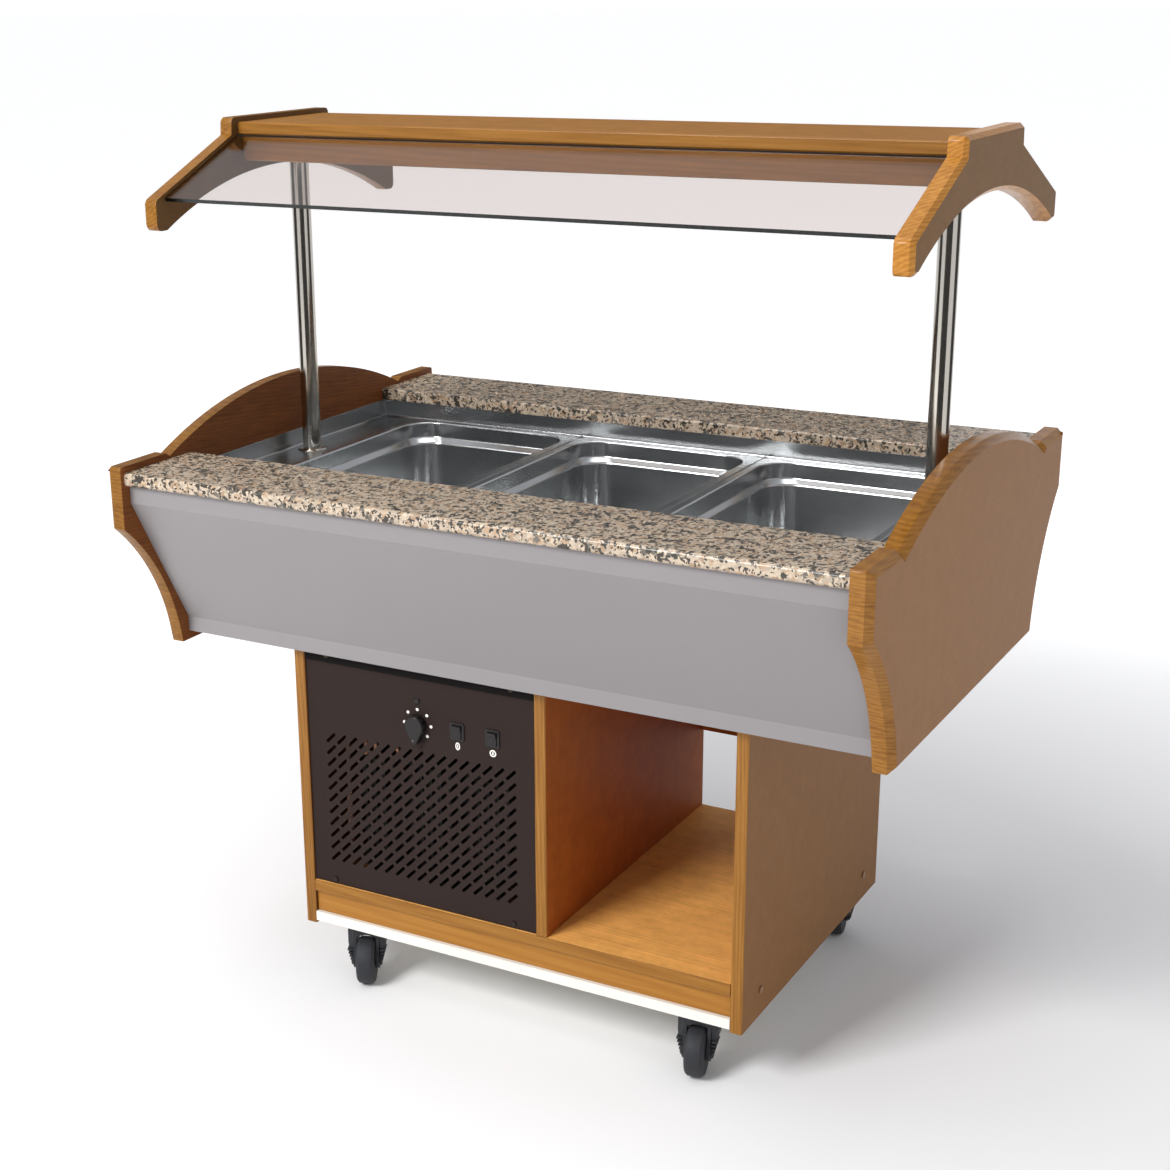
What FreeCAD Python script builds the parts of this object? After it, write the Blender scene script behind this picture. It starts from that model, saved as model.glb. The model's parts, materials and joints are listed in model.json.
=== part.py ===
import FreeCAD, Part
import math
import os

os.makedirs("parts", exist_ok=True)
V = FreeCAD.Vector

# Mobile salad bar. Millimetres. Origin on the floor under the middle of the counter.
# +X runs along the counter, +Y to the back, +Z up. Front is -Y.

# ---- modelling ----
cut_over = 1.0
touch = 0.01
least_edge = 0.5
rod_sides = 8
nut_sides = 6

# ---- pans ----
pan_names = ("left", "centre", "right")
pan_len = 530.0
pan_w = 325.0
pan_depth = 150.0
pan_t = 1.0
pan_gap = 4.0
pan_lap = 8.0
pan_end_lap = 9.5
pan_lift_gap = 3.0
pan_rim_w = 13.0
pan_lip_h = 3.0
pan_rim_r = 16.0
pan_corner_r = 48.0
pan_collar = 26.0
pan_step = 8.0
pan_taper = 5.0
pan_heel = 16.0

# ---- bars between the pans ----
rib_clear = 0.5
bar_rib_h = 4.0
bar_side_gap = 4.0
bar_flange_t = 2.0
bar_web_h = 16.0
bar_seat = 12.0
bar_clear = 0.6

# ---- end panels ----
counter_h = 856.0
panel_t = 30.0
panel_rise = 65.0
panel_valley_in = 114.0
panel_valley_drop = 6.0
panel_valley_run = 10.0
panel_nose = 95.0
panel_foot_in = 116.0
panel_foot_drop = 14.0
cove_mid_in = 68.6
cove_mid_drop = 79.5
panel_bevel = 10.0
panel_corner_r = 5.0

# ---- stone slabs and fascias ----
stone_t = 20.0
stone_sink = 10.0
stone_in = 7.0
stone_over = 7.0
stone_edge_r = 6.0
stone_inner_r = 3.0
fascia_t = 2.0
fascia_in = 18.5
fascia_top_flange = 28.0
fascia_foot_in = 16.5
fascia_foot_flange = 24.0
fascia_return = 20.0

# ---- cooled well ----
casing_t = 2.0
liner_t = 1.5
upstand_h = 29.0
end_ledge = 81.0
well_side = 177.0
well_depth = 177.0
well_corner_r = 22.0
foam_under = 55.0
coil_w = 9.0
coil_t = 6.0
coil_runs = 4
coil_side = 30.5
coil_end = 10.5
coil_tail_in = 28.5
coil_tail_drop = 25.0
coil_pocket_h = 10.0
pocket_end = 32.0
pocket_side = 57.0
bend_r = 14.0

# ---- drain ----
drain_x = 140.0
drain_pipe_r = 14.0
drain_wall = 3.0
drain_flange_r = 27.0
drain_flange_t = 1.6
drain_valve_drop = 29.0
drain_valve_r = 20.0
drain_valve_h = 34.0
drain_end_drop = 65.0
lever_len = 62.0
lever_w = 14.0
lever_t = 4.0
lever_boss_r = 9.0
lever_corner_r = 4.5
lever_stem_r = 4.0
lever_gap = 0.3

# ---- posts ----
post_in = 36.0
post_r = 15.0
post_wall = 2.0
rosette_r = 24.0
rosette_t = 4.0
hole_clear = 0.3

# ---- canopy ----
canopy_in = 9.0
canopy_rise = 330.0
gable_t = 26.0
gable_h = 150.5
gable_half = 318.0
gable_foot_h = 44.4
gable_notch_h = 25.5
gable_notch_y = 130.0
gable_top_y = 128.0
gable_arch_in = 22.0
gable_arch_h = 70.0
gable_bevel = 6.0
gable_foot_r = 10.0
gable_top_r = 8.0
top_board_w = 228.0
top_board_t = 18.0
beam_in = 14.0
beam_t = 20.0
beam_h = 44.0
glass_t = 6.0
glass_inset = 6.0
glass_low_in = 19.0
glass_gap = 1.0
groove_deep = 8.0
groove_clear = 0.3
lamp_end = 128.0
lamp_w = 64.0
lamp_h = 20.0
lamp_wall = 1.5
tube_r = 8.0
tube_drop = 20.0
tube_cap_r = 9.5
tube_cap_len = 14.0
lamp_holder_t = 10.0

# ---- base cabinet ----
base_len = 755.0
base_in = 20.5
board_t = 19.0
bay_w = 402.0
side_drop = 5.0
edge_soft = 1.5
floor_t = 20.0
plinth_h = 36.0
plinth_t = 16.0
plinth_recess = 6.0
base_board_t = 16.0
batten = 19.0
panel_recess = 4.0
sheet_t = 1.5
sheet_gap = 0.5
rear_panel_h = 250.0
cap_r = 6.0
cap_t = 2.0
cap_in = 66.0
cap_up = 37.0

# ---- control panel ----
slot_pitch = 20.0
slot_side = 40.0
slot_drop = 144.5
slot_foot = 48.0
slot_len = 22.0
slot_w = 5.0
slot_angle = -45.0
screw_side = 39.0
screw_up = 8.0
screw_drop = 10.0
screw_head_r = 4.0
screw_head_h = 2.2
screw_r = 1.8
screw_len = 14.0
knob_drop = 93.0
knob_r = 16.0
knob_tip = 30.0
knob_tip_r = 4.0
knob_h = 13.0
knob_gap = 0.6
knob_bevel = 1.5
shaft_r = 3.0
shaft_len = 11.0
shaft_clear = 0.05
thermostat_w = 44.0
thermostat_h = 40.0
thermostat_d = 28.0
pilot_up = 37.0
pilot_r = 5.0
pilot_h = 2.5
pilot_bevel = 1.5
pilot_body_r = 4.0
pilot_body_len = 18.0
switch_drop = 92.0
switch_off = (69.5, 130.0)
bezel_w = 24.0
bezel_h = 28.0
bezel_t = 2.0
switch_body_w = 20.0
switch_body_h = 26.0
switch_body_d = 22.0
rocker_w = 15.0
rocker_r = 11.0
rocker_tilt = 8.0
rocker_proud = 3.6
rocker_valley = 1.6
rocker_deep = 4.0
rocker_clear = 0.3
vent_side = 41.0
vent_mid = 20.0
vent_slot_h = 6.0
vent_pitch = 28.0
vent_up = 48.0
vent_head = 176.0
gland_in = 38.5
gland_drop = 95.0
gland_r = 11.0
gland_neck_r = 8.0
gland_inner_t = 5.0
gland_outer_t = 9.0
gland_bore_r = 4.5

# ---- refrigeration ----
cond_side = 71.0
cond_gap = 43.5
cond_d = 34.0
cond_h = 204.0
cond_fins = 16
cond_fin_t = 4.0
cond_core = 10.0
cond_bend = 14.0
cond_rows = 4
cond_foot = 4.0
shroud_d = 26.0
shroud_t = 2.0
shroud_gap = 0.5
fan_side = 18.0
fan_clear = 5.0
fan_hub_r = 22.0
fan_hub_t = 16.0
fan_hub_gap = 3.0
fan_blades = 5
fan_blade_w = 38.0
fan_tip = 12.0
fan_blade_root = 4.0
fan_blade_t = 2.0
fan_pitch_deg = 32.0
motor_r = 30.0
motor_len = 46.0
motor_gap = 4.0
spindle_r = 4.0
arm_w = 10.0
fan_arms = 3
comp_in = 123.5
comp_back = 136.5
comp_r = 78.0
comp_h = 158.0
comp_dome = 30.0
comp_plate_len = 190.0
comp_plate_w = 150.0
comp_plate_t = 3.0
comp_foot_w = 22.0
comp_foot_h = 16.0
comp_box = 46.0
comp_box_sink = 10.0
comp_box_out = 18.0
comp_box_up = 10.0
stub_r = 5.0
stub_h = 12.0
stub_sink = 6.0
stub_offset = 26.0
pipe_rise = 46.0
liquid_low = 40.0
pipe_r = 4.0
tube_sides = 6
drier_r = 11.0
drier_len = 70.0
liquid_in = 10.0

# ---- casters ----
caster_front_in = 84.5
caster_rear_in = 52.5
caster_side = 50.0
caster_turn = {"fl": 206.0, "fr": 193.0, "rl": 12.0, "rr": 10.0}
plate_w = 62.0
plate_t = 5.0
plate_bevel = 6.0
kingpin_r = 6.0
kingpin_len = 12.0
swivel_gap = 0.3
pin_clear = 0.05
hood_w = 60.0
hood_h = 13.0
hood_wall = 4.0
hood_skirt = 31.0
hood_bevel = 9.0
cheek_t = 5.0
cheek_boss_r = 13.0
cheek_front = 6.0
trail = 28.0
wheel_r = 37.5
wheel_w = 28.0
wheel_bevel = 4.0
wheel_gap = 1.5
wheel_head = 6.7
axle_r = 4.0
axle_head_r = 8.0
axle_head_t = 4.0

# ---- lengths worked out along X ----
pan_pitch = pan_w + pan_gap
well_len = len(pan_names) * pan_pitch - pan_gap - 2 * pan_end_lap
inner_x = well_len / 2 + end_ledge
counter_len = 2 * (inner_x + panel_t)
post_x = inner_x - post_in
canopy_len = counter_len - 2 * canopy_in
gable_in_x = canopy_len / 2 - gable_t
lamp_len = 2 * (gable_in_x - lamp_end)
base_in_x = base_len / 2 - board_t
bay_left_x = -base_in_x
partition_x = bay_left_x + bay_w
bay_mid_x = bay_left_x + bay_w / 2
bar_rib_w = pan_gap - 2 * rib_clear
bar_flange_w = pan_gap + 2 * (pan_rim_w - bar_side_gap)

# ---- depths worked out along Y ----
well_w = pan_len - 2 * pan_lap
stone_gap_w = pan_len + 2 * pan_lift_gap
trough_w = stone_gap_w + 2 * stone_over
panel_depth = well_w + 2 * well_side
stone_outer_w = panel_depth - 2 * stone_in
fascia_top_w = panel_depth - 2 * fascia_in
panel_bottom_w = panel_depth - 2 * panel_foot_in
fascia_low_w = panel_bottom_w - 2 * fascia_foot_in
base_depth = fascia_low_w - 2 * base_in
front_y = -base_depth / 2
sheet_face_y = front_y + panel_recess
sheet_back_y = sheet_face_y + sheet_t
beam_y = top_board_w / 2 - beam_in

# ---- heights worked out along Z ----
caster_h = 2 * wheel_r + wheel_head + hood_h + swivel_gap + plate_t
floor_top_z = caster_h + base_board_t + plinth_h + floor_t
stone_top_z = counter_h - stone_sink
stone_bottom_z = stone_top_z - stone_t
ledge_z = stone_bottom_z - upstand_h
ledge_under_z = ledge_z - liner_t
well_floor_z = ledge_z - well_depth
floor_under_z = well_floor_z - liner_t
casing_bottom_z = well_floor_z - foam_under
gable_foot_z = counter_h + canopy_rise
gable_top_z = gable_foot_z + gable_h
canopy_board_z = gable_top_z - gable_notch_h
gable_foot_top_z = gable_foot_z + gable_foot_h
slant = math.atan2(canopy_board_z - gable_foot_top_z, gable_half - gable_notch_y)

# ---- cooling coil and drain ----
coil_pocket_len = well_len - 2 * pocket_end
coil_pocket_w = well_w - 2 * pocket_side
coil_pitch = (coil_pocket_w - 2 * coil_side - coil_w) / (coil_runs - 1)
coil_reach = (coil_pocket_len - coil_pitch - coil_w) / 2 - coil_end
coil_tail_x = bay_left_x + coil_tail_in
coil_tail_end_z = casing_bottom_z - coil_tail_drop
drain_y = coil_pitch
drain_bore_r = drain_pipe_r - drain_wall
drain_valve_z = casing_bottom_z - drain_valve_drop
drain_end_z = casing_bottom_z - drain_end_drop

# ---- places on the sheets of the machine bay ----
slot_top_z = casing_bottom_z - slot_drop
slot_rows = int((slot_top_z - floor_top_z - slot_foot) / slot_pitch) + 1
slot_cols = int((bay_w - 2 * slot_side) / slot_pitch) + 1
knob_z = casing_bottom_z - knob_drop
pilot_z = knob_z + pilot_up
switch_z = casing_bottom_z - switch_drop
switch_x = [bay_mid_x + off for off in switch_off]
vent_low_z = floor_top_z + vent_up
vent_rows = int((casing_bottom_z - vent_head - vent_low_z) / vent_pitch) + 1
vent_slot_len = (bay_w - vent_mid) / 2 - vent_side
gland_x = bay_left_x + gland_in
gland_z = casing_bottom_z - gland_drop

# ---- places inside the machine bay ----
cond_len = bay_w - 2 * cond_side
cond_y = sheet_back_y + cond_gap
cond_top_z = floor_top_z + cond_foot + cond_h
fan_r = cond_h / 2 - fan_side
fan_y = cond_y + cond_d + shroud_gap
fan_z = floor_top_z + cond_foot + cond_h / 2
comp_x = bay_left_x + comp_in
comp_y = -sheet_back_y - comp_back


def box(x0, x1, y0, y1, z0, z1):
    """Axis-aligned block between two corners."""
    return Part.makeBox(x1 - x0, y1 - y0, z1 - z0, V(x0, y0, z0))


def cyl(r, h, base, axis=V(0, 0, 1)):
    """Cylinder from a base point along an axis."""
    return Part.makeCylinder(r, h, base, axis)


def fuse(shapes):
    """One solid from touching or overlapping shapes."""
    return shapes[0].fuse(shapes[1:]).removeSplitter()


def mirror_x(shape):
    return shape.mirror(V(0, 0, 0), V(1, 0, 0))


def mirror_y(shape):
    return shape.mirror(V(0, 0, 0), V(0, 1, 0))


def turned(shape, about, axis, degrees):
    """Copy of a shape turned about a point."""
    copy = shape.copy()
    copy.rotate(about, axis, degrees)
    return copy


def round_edges(shape, r, pick):
    """Fillet the straight or curved edges that pick() accepts."""
    return shape.makeFillet(r, [e for e in shape.Edges if pick(e)])


def bevel_edges(shape, size, pick):
    """Chamfer the edges that pick() accepts."""
    return shape.makeChamfer(size, [e for e in shape.Edges if pick(e)])


def runs_along(edge, axis):
    """True when both ends of an edge differ only along one axis."""
    if len(edge.Vertexes) < 2:
        return False
    d = edge.Vertexes[1].Point - edge.Vertexes[0].Point
    return d.Length > least_edge and abs(abs(d.dot(axis)) - d.Length) < 1e-6


def rounded_corner(prev, corner, following, r):
    """Tangent points and mid point of a fillet at a corner of two straight runs."""
    a = (prev - corner).normalize()
    b = (following - corner).normalize()
    half = a.getAngle(b) / 2
    cut = r / math.tan(half)
    middle = (a + b).normalize()
    centre = corner + middle * (r / math.sin(half))
    return corner + a * cut, centre - middle * r, corner + b * cut


def outline(steps, x):
    """Closed wire in a plane of constant x. A step is (y, z), (y, z, corner radius)
    or ((mid y, mid z), (y, z)) for an arc that ends there."""
    ends = [V(x, *(s[1] if isinstance(s[0], tuple) else s[:2])) for s in steps]
    cuts = []
    for i, step in enumerate(steps):
        if not isinstance(step[0], tuple) and len(step) == 3:
            after = ends[(i + 1) % len(ends)]
            cuts.append(rounded_corner(ends[i - 1], ends[i], after, step[2]))
        else:
            cuts.append((ends[i], None, ends[i]))
    edges = []
    for i, step in enumerate(steps):
        start = cuts[i - 1][2]
        stop = cuts[i][0]
        if isinstance(step[0], tuple):
            edges.append(Part.Arc(start, V(x, *step[0]), stop).toShape())
        else:
            edges.append(Part.makeLine(start, stop))
        if cuts[i][1] is not None:
            edges.append(Part.Arc(*cuts[i]).toShape())
    return Part.Wire(edges)


def slab_x(steps, x0, x1):
    """Solid of a y-z outline between two x planes."""
    return Part.Face(outline(steps, x0)).extrude(V(x1 - x0, 0, 0))


def rounded_plate(x0, x1, y0, y1, z0, z1, r):
    """Block with its four upright edges rounded."""
    return round_edges(box(x0, x1, y0, y1, z0, z1), r, lambda e: runs_along(e, V(0, 0, 1)))


def section(r, centre, axis, sides):
    """Regular section of a thin rod or pipe, square to an axis that lies level or upright."""
    across = V(1, 0, 0) if abs(axis.z) > axis.Length / 2 else V(0, 0, 1)
    across = (across - axis * (across.dot(axis) / axis.dot(axis))).normalize()
    other = V(*axis).normalize().cross(across)
    ring = []
    for k in range(sides + 1):
        a = 2 * math.pi * (k + 0.5) / sides
        ring.append(centre + across * (r * math.cos(a)) + other * (r * math.sin(a)))
    return Part.Face(Part.makePolygon(ring))


def rod(r, h, base, axis, sides=rod_sides):
    """Small bar of regular section, drawn from a base point along an axis."""
    return section(r, base, axis, sides).extrude(V(*axis).normalize() * h)


def tube_path(points, r, bend):
    """Pipe along a line bent at its inner points, from straight and turned lengths."""
    parts = []
    start = points[0]
    for i in range(1, len(points) - 1):
        first, middle, last = rounded_corner(points[i - 1], points[i], points[i + 1], bend)
        run = first - start
        parts.append(section(r, start, run, tube_sides).extrude(run))
        arc = Part.Arc(first, middle, last).toShape()
        turn = math.degrees(arc.LastParameter - arc.FirstParameter)
        bent = section(r, first, run, tube_sides).revolve(arc.Curve.Center, arc.Curve.Axis, turn)
        parts.append(bent)
        start = last
    run = points[-1] - start
    parts.append(section(r, start, run, tube_sides).extrude(run))
    return fuse(parts)


def rounded_ring(hx, hy, r, z):
    """Level rounded rectangle about the origin as a wire."""
    edges = []
    start = V(hx - r, hy, z)
    for sx, sy in ((-1, 1), (-1, -1), (1, -1), (1, 1)):
        diagonal = r * math.sqrt(0.5)
        middle = V(sx * (hx - r + diagonal), sy * (hy - r + diagonal), z)
        ends = [V(sx * (hx - r), sy * hy, z), V(sx * hx, sy * (hy - r), z)]
        if sx != sy:
            first, last = ends
        else:
            last, first = ends
        edges += [Part.makeLine(start, first), Part.Arc(first, middle, last).toShape()]
        start = last
    return Part.Wire(edges)


# ---- end panels ----
def end_panel():
    """Right-hand end panel: cove-cut front and back, arched top, bevelled outside."""
    half = panel_depth / 2
    foot = panel_bottom_w / 2
    foot_z = casing_bottom_z - panel_foot_drop
    valley_y = half - panel_valley_in
    valley_z = counter_h - panel_valley_drop
    shelf_y = valley_y + panel_valley_run
    nose_z = counter_h - panel_nose
    mid_y = half - cove_mid_in
    mid_z = nose_z - cove_mid_drop
    steps = [
        (foot, foot_z),
        ((mid_y, mid_z), (half, nose_z)),
        (half, counter_h, panel_corner_r),
        (shelf_y, counter_h),
        (valley_y, valley_z),
        ((0, counter_h + panel_rise), (-valley_y, valley_z)),
        (-shelf_y, counter_h),
        (-half, counter_h, panel_corner_r),
        (-half, nose_z),
        ((-mid_y, mid_z), (-foot, foot_z)),
    ]
    solid = slab_x(steps, inner_x, inner_x + panel_t)
    outside = [f for f in solid.Faces if f.BoundBox.XMin > inner_x + panel_t - touch]
    return solid.makeChamfer(panel_bevel, outside[0].Edges)


# ---- stone and fascias ----
def stone_slab():
    """Rear stone slab with softened long edges."""
    slab = box(-inner_x, inner_x, stone_gap_w / 2, stone_outer_w / 2, stone_bottom_z, stone_top_z)
    along = V(1, 0, 0)
    outer = stone_outer_w / 2
    slab = round_edges(slab, stone_edge_r,
                       lambda e: runs_along(e, along) and e.BoundBox.YMin > outer - touch)
    inner = stone_gap_w / 2
    return round_edges(slab, stone_inner_r,
                       lambda e: runs_along(e, along) and e.BoundBox.YMax < inner + touch)


def fascia_line():
    """Outer face of the rear fascia, from its top return down, as (y, z) points."""
    top = fascia_top_w / 2
    low = fascia_low_w / 2
    return [
        (top - fascia_return, stone_bottom_z),
        (top, stone_bottom_z),
        (top, stone_bottom_z - fascia_top_flange),
        (low, casing_bottom_z + fascia_foot_flange),
        (low, casing_bottom_z),
    ]


def inset_line(points, t):
    """Line parallel to a folded line at distance t on its right-hand side."""
    moved = []
    for i in range(len(points)):
        normals = []
        for j in (i - 1, i):
            if 0 <= j < len(points) - 1:
                dy = points[j + 1][0] - points[j][0]
                dz = points[j + 1][1] - points[j][1]
                size = math.hypot(dy, dz)
                normals.append((dz / size, -dy / size))
        if len(normals) == 1:
            ny, nz = normals[0]
            scale = t
        else:
            ny = normals[0][0] + normals[1][0]
            nz = normals[0][1] + normals[1][1]
            scale = t / (1 + normals[0][0] * normals[1][0] + normals[0][1] * normals[1][1])
        moved.append((points[i][0] + ny * scale, points[i][1] + nz * scale))
    return moved


def fascia():
    """Rear fascia: one folded sheet between the end panels."""
    outer = fascia_line()
    inner = inset_line(outer, fascia_t)
    return slab_x(outer + inner[::-1], -inner_x, inner_x)


# ---- cooled well ----
def well_cavity(grow, floor_z, top_z):
    """Rounded block of the well's inside, grown all round."""
    hx = well_len / 2 + grow
    hy = well_w / 2 + grow
    return rounded_plate(-hx, hx, -hy, hy, floor_z, top_z, well_corner_r + grow)


def post_hole(grow, z0, z1):
    """Both upright holes for the posts."""
    return [cyl(post_r + grow, z1 - z0, V(x, 0, z0)) for x in (-post_x, post_x)]


def drain_hole(r, z0, z1):
    return cyl(r, z1 - z0, V(drain_x, drain_y, z0))


def well_liner():
    """Stainless liner welded up from four levels: floor, walls, ledge and upstand."""
    half = trough_w / 2
    tray = box(-inner_x, inner_x, -half, half, ledge_under_z, stone_bottom_z)
    rim = inner_x - liner_t
    edge = half - liner_t
    tray = tray.cut(box(-rim, rim, -edge, edge, ledge_z, stone_bottom_z))
    body = fuse([tray, well_cavity(liner_t, floor_under_z, ledge_under_z)])
    cuts = [well_cavity(0, well_floor_z, ledge_z)]
    cuts += post_hole(hole_clear, ledge_under_z, ledge_z)
    cuts.append(drain_hole(drain_pipe_r + hole_clear, floor_under_z, well_floor_z))
    body = body.cut(cuts)
    levels = [floor_under_z, well_floor_z, ledge_under_z, ledge_z, stone_bottom_z]
    return [
        body.common(box(-inner_x, inner_x, -half, half, z0, z1))
        for z0, z1 in zip(levels, levels[1:])
    ]


def well_insulation():
    """Foam between the liner and the fascias, with a pocket for the cooling coil."""
    half = inset_line(fascia_line(), fascia_t)[1:]
    half[-1] = (half[-1][0], casing_bottom_z + casing_t)
    mirrored = [(-y, z) for y, z in half[::-1]]
    foam = slab_x(half + mirrored, -inner_x, inner_x)
    hx = well_len / 2 + liner_t
    hy = well_w / 2 + liner_t
    trough = trough_w / 2
    cuts = [
        box(-inner_x, inner_x, -trough, trough, ledge_under_z, stone_bottom_z),
        box(-hx, hx, -hy, hy, floor_under_z, ledge_under_z),
        box(-coil_pocket_len / 2, coil_pocket_len / 2, -coil_pocket_w / 2, coil_pocket_w / 2,
            floor_under_z - coil_pocket_h, floor_under_z),
        drain_hole(drain_pipe_r + hole_clear, casing_bottom_z, well_floor_z),
    ]
    cuts += post_hole(hole_clear, casing_bottom_z + casing_t, stone_bottom_z)
    cuts += coil_tail_holes(casing_bottom_z, floor_under_z)
    return foam.cut(cuts)


def coil_tail_holes(z0, z1):
    """Upright holes for both tails of the cooling coil."""
    h = coil_w / 2 + hole_clear
    x = coil_tail_x
    return [box(x - h, x + h, y - h, y + h, z0, z1) for y in coil_tail_y()]


def coil_tail_y():
    """Both y positions where the cooling coil leaves the foam."""
    end_y = coil_pitch * (coil_runs - 1) / 2
    return (-end_y, end_y)


def well_casing():
    """Bottom sheet of the counter between the two fascias."""
    edge = fascia_low_w / 2 - fascia_t
    top = casing_bottom_z + casing_t
    sheet = box(-inner_x, inner_x, -edge, edge, casing_bottom_z, top)
    holes = [drain_hole(drain_pipe_r + hole_clear, casing_bottom_z, top)]
    return sheet.cut(holes + coil_tail_holes(casing_bottom_z, top))


def evaporator_coil():
    """Serpentine of flat cooling tube under the well floor, both tails turned down."""
    z1 = floor_under_z
    z0 = z1 - coil_t
    h = coil_w / 2
    r = coil_pitch / 2
    low_y, high_y = coil_tail_y()
    parts = []
    for i in range(coil_runs):
        y = low_y + i * coil_pitch
        x0 = coil_tail_x - h if i in (0, coil_runs - 1) else -coil_reach
        parts.append(box(x0, coil_reach, y - h, y + h, z0, z1))
        if i < coil_runs - 1:
            side = 1 if i % 2 == 0 else -1
            x = side * coil_reach
            ring = cyl(r + h, coil_t, V(x, y + r, z0)).cut(cyl(r - h, coil_t, V(x, y + r, z0)))
            far = x + side * coil_pitch
            parts.append(ring.common(box(min(x, far), max(x, far), y - h, y + coil_pitch + h, z0, z1)))
    for y in (low_y, high_y):
        parts.append(box(coil_tail_x - h, coil_tail_x + h, y - h, y + h, coil_tail_end_z, z1))
    return fuse(parts)


def drain_valve():
    """Waste flange, tail pipe and valve body with a stem on its right side."""
    flange = cyl(drain_flange_r, drain_flange_t, V(drain_x, drain_y, well_floor_z))
    pipe = cyl(drain_pipe_r, well_floor_z - drain_end_z, V(drain_x, drain_y, drain_end_z))
    low = drain_valve_z - drain_valve_h / 2
    valve = rod(drain_valve_r, drain_valve_h, V(drain_x, drain_y, low), V(0, 0, 1), nut_sides)
    stem_x = drain_x + drain_pipe_r
    stem_len = drain_valve_r + lever_gap + lever_t - drain_pipe_r
    stem = rod(lever_stem_r, stem_len, V(stem_x, drain_y, drain_valve_z), V(1, 0, 0))
    bore_h = well_floor_z + drain_flange_t - drain_end_z
    bore = cyl(drain_bore_r, bore_h, V(drain_x, drain_y, drain_end_z))
    return fuse([flange, pipe, valve, stem]).cut(bore)


def drain_lever():
    """Flat lever of the drain valve, pointing to the front with the valve shut."""
    x0 = drain_x + drain_valve_r + lever_gap
    boss = cyl(lever_boss_r, lever_t, V(x0, drain_y, drain_valve_z), V(1, 0, 0))
    z0 = drain_valve_z - lever_w / 2
    bar = box(x0, x0 + lever_t, drain_y - lever_len, drain_y, z0, z0 + lever_w)
    tip = V(1, 0, 0)
    bar = round_edges(bar, lever_corner_r,
                      lambda e: runs_along(e, tip) and e.BoundBox.YMax < drain_y - lever_len + touch)
    hole = cyl(lever_stem_r + shaft_clear, lever_t, V(x0, drain_y, drain_valve_z), V(1, 0, 0))
    return fuse([boss, bar]).cut(hole)


# ---- pans and bars ----
def pan_block(grow):
    """Pan body grown by a wall: collar, sloping stacking shoulder, tapered walls and heel."""
    hx = pan_w / 2 - pan_rim_w + grow
    hy = pan_len / 2 - pan_rim_w + grow
    corner = pan_corner_r + grow
    rim_z = ledge_z + pan_lip_h
    step_z = rim_z - pan_collar - grow
    floor_z = rim_z - pan_depth - grow
    low = pan_step + pan_taper
    heel = low + pan_heel
    rings = [
        (heel, corner - pan_heel, floor_z),
        (low, corner, floor_z + pan_heel),
        (pan_step, corner, step_z - pan_step),
        (0, corner, step_z),
        (0, corner, rim_z),
    ]
    return Part.makeLoft([rounded_ring(hx - d, hy - d, r, z) for d, r, z in rings], True, True)


def pan(x):
    """Deep-drawn pan with a flat rim and a turned-down lip."""
    rim_z = ledge_z + pan_lip_h
    hx = pan_w / 2
    hy = pan_len / 2
    plate = rounded_plate(-hx, hx, -hy, hy, ledge_z, rim_z, pan_rim_r)
    under = rounded_plate(-hx + pan_t, hx - pan_t, -hy + pan_t, hy - pan_t,
                          ledge_z, rim_z - pan_t, pan_rim_r - pan_t)
    rim = plate.cut(under)
    shell = fuse([rim, pan_block(0)]).cut(pan_block(-pan_t))
    shell.translate(V(x, 0, 0))
    return shell


def divider_bar(x):
    """Bar across the well: rib between two pan rims, flange under them, web below."""
    half = well_w / 2 + bar_seat
    clear = well_w / 2 - bar_clear
    rib = box(x - bar_rib_w / 2, x + bar_rib_w / 2, -half, half, ledge_z, ledge_z + bar_rib_h)
    fx = bar_flange_w / 2
    flange = box(x - fx, x + fx, -clear, clear, ledge_z - bar_flange_t, ledge_z)
    skirts = []
    for side in (-1, 1):
        edge = x + side * fx
        near = edge - side * bar_flange_t
        low = ledge_z - bar_web_h
        skirts.append(box(min(edge, near), max(edge, near), -clear, clear, low, ledge_z))
    return fuse([rib, flange] + skirts)


# ---- posts ----
def post(x):
    """Chrome tube standing on the bottom sheet and reaching the canopy board."""
    low = casing_bottom_z + casing_t
    tall = canopy_board_z - low
    outer = cyl(post_r, tall, V(x, 0, low))
    return outer.cut(cyl(post_r - post_wall, tall, V(x, 0, low)))


def post_rosettes():
    """Four turned cover rings: two on the ledge and two under the canopy board."""
    ring = cyl(rosette_r, rosette_t, V(0, 0, 0)).cut(cyl(post_r, rosette_t, V(0, 0, 0)))
    rings = []
    for x in (-post_x, post_x):
        low = ring.copy()
        low.translate(V(x, 0, ledge_z))
        high = turned(ring, V(0, 0, 0), V(1, 0, 0), 180)
        high.translate(V(x, 0, canopy_board_z))
        rings += [low, high]
    return rings


# ---- canopy ----
def glass_point(y, sink):
    """Point below the sloping gable edge at a given y, sunk at right angles to it."""
    z = gable_foot_top_z + (y + gable_half) * math.tan(slant)
    return (y + sink * math.sin(slant), z - sink * math.cos(slant))


def glass_strip(margin, x):
    """Slanting strip between the gables, grown by a margin. Its upper edge stops at the top board."""
    top = glass_inset - margin
    low = glass_inset + glass_t + margin
    run_y = margin * math.cos(slant)
    low_y = glass_low_in - gable_half
    high_y = -top_board_w / 2 - glass_gap - (glass_inset + glass_t) * math.sin(slant)
    steps = [
        glass_point(low_y - run_y, low),
        glass_point(high_y + run_y, low),
        glass_point(high_y + run_y, top),
        glass_point(low_y - run_y, top),
    ]
    return slab_x(steps, -x, x)


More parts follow.
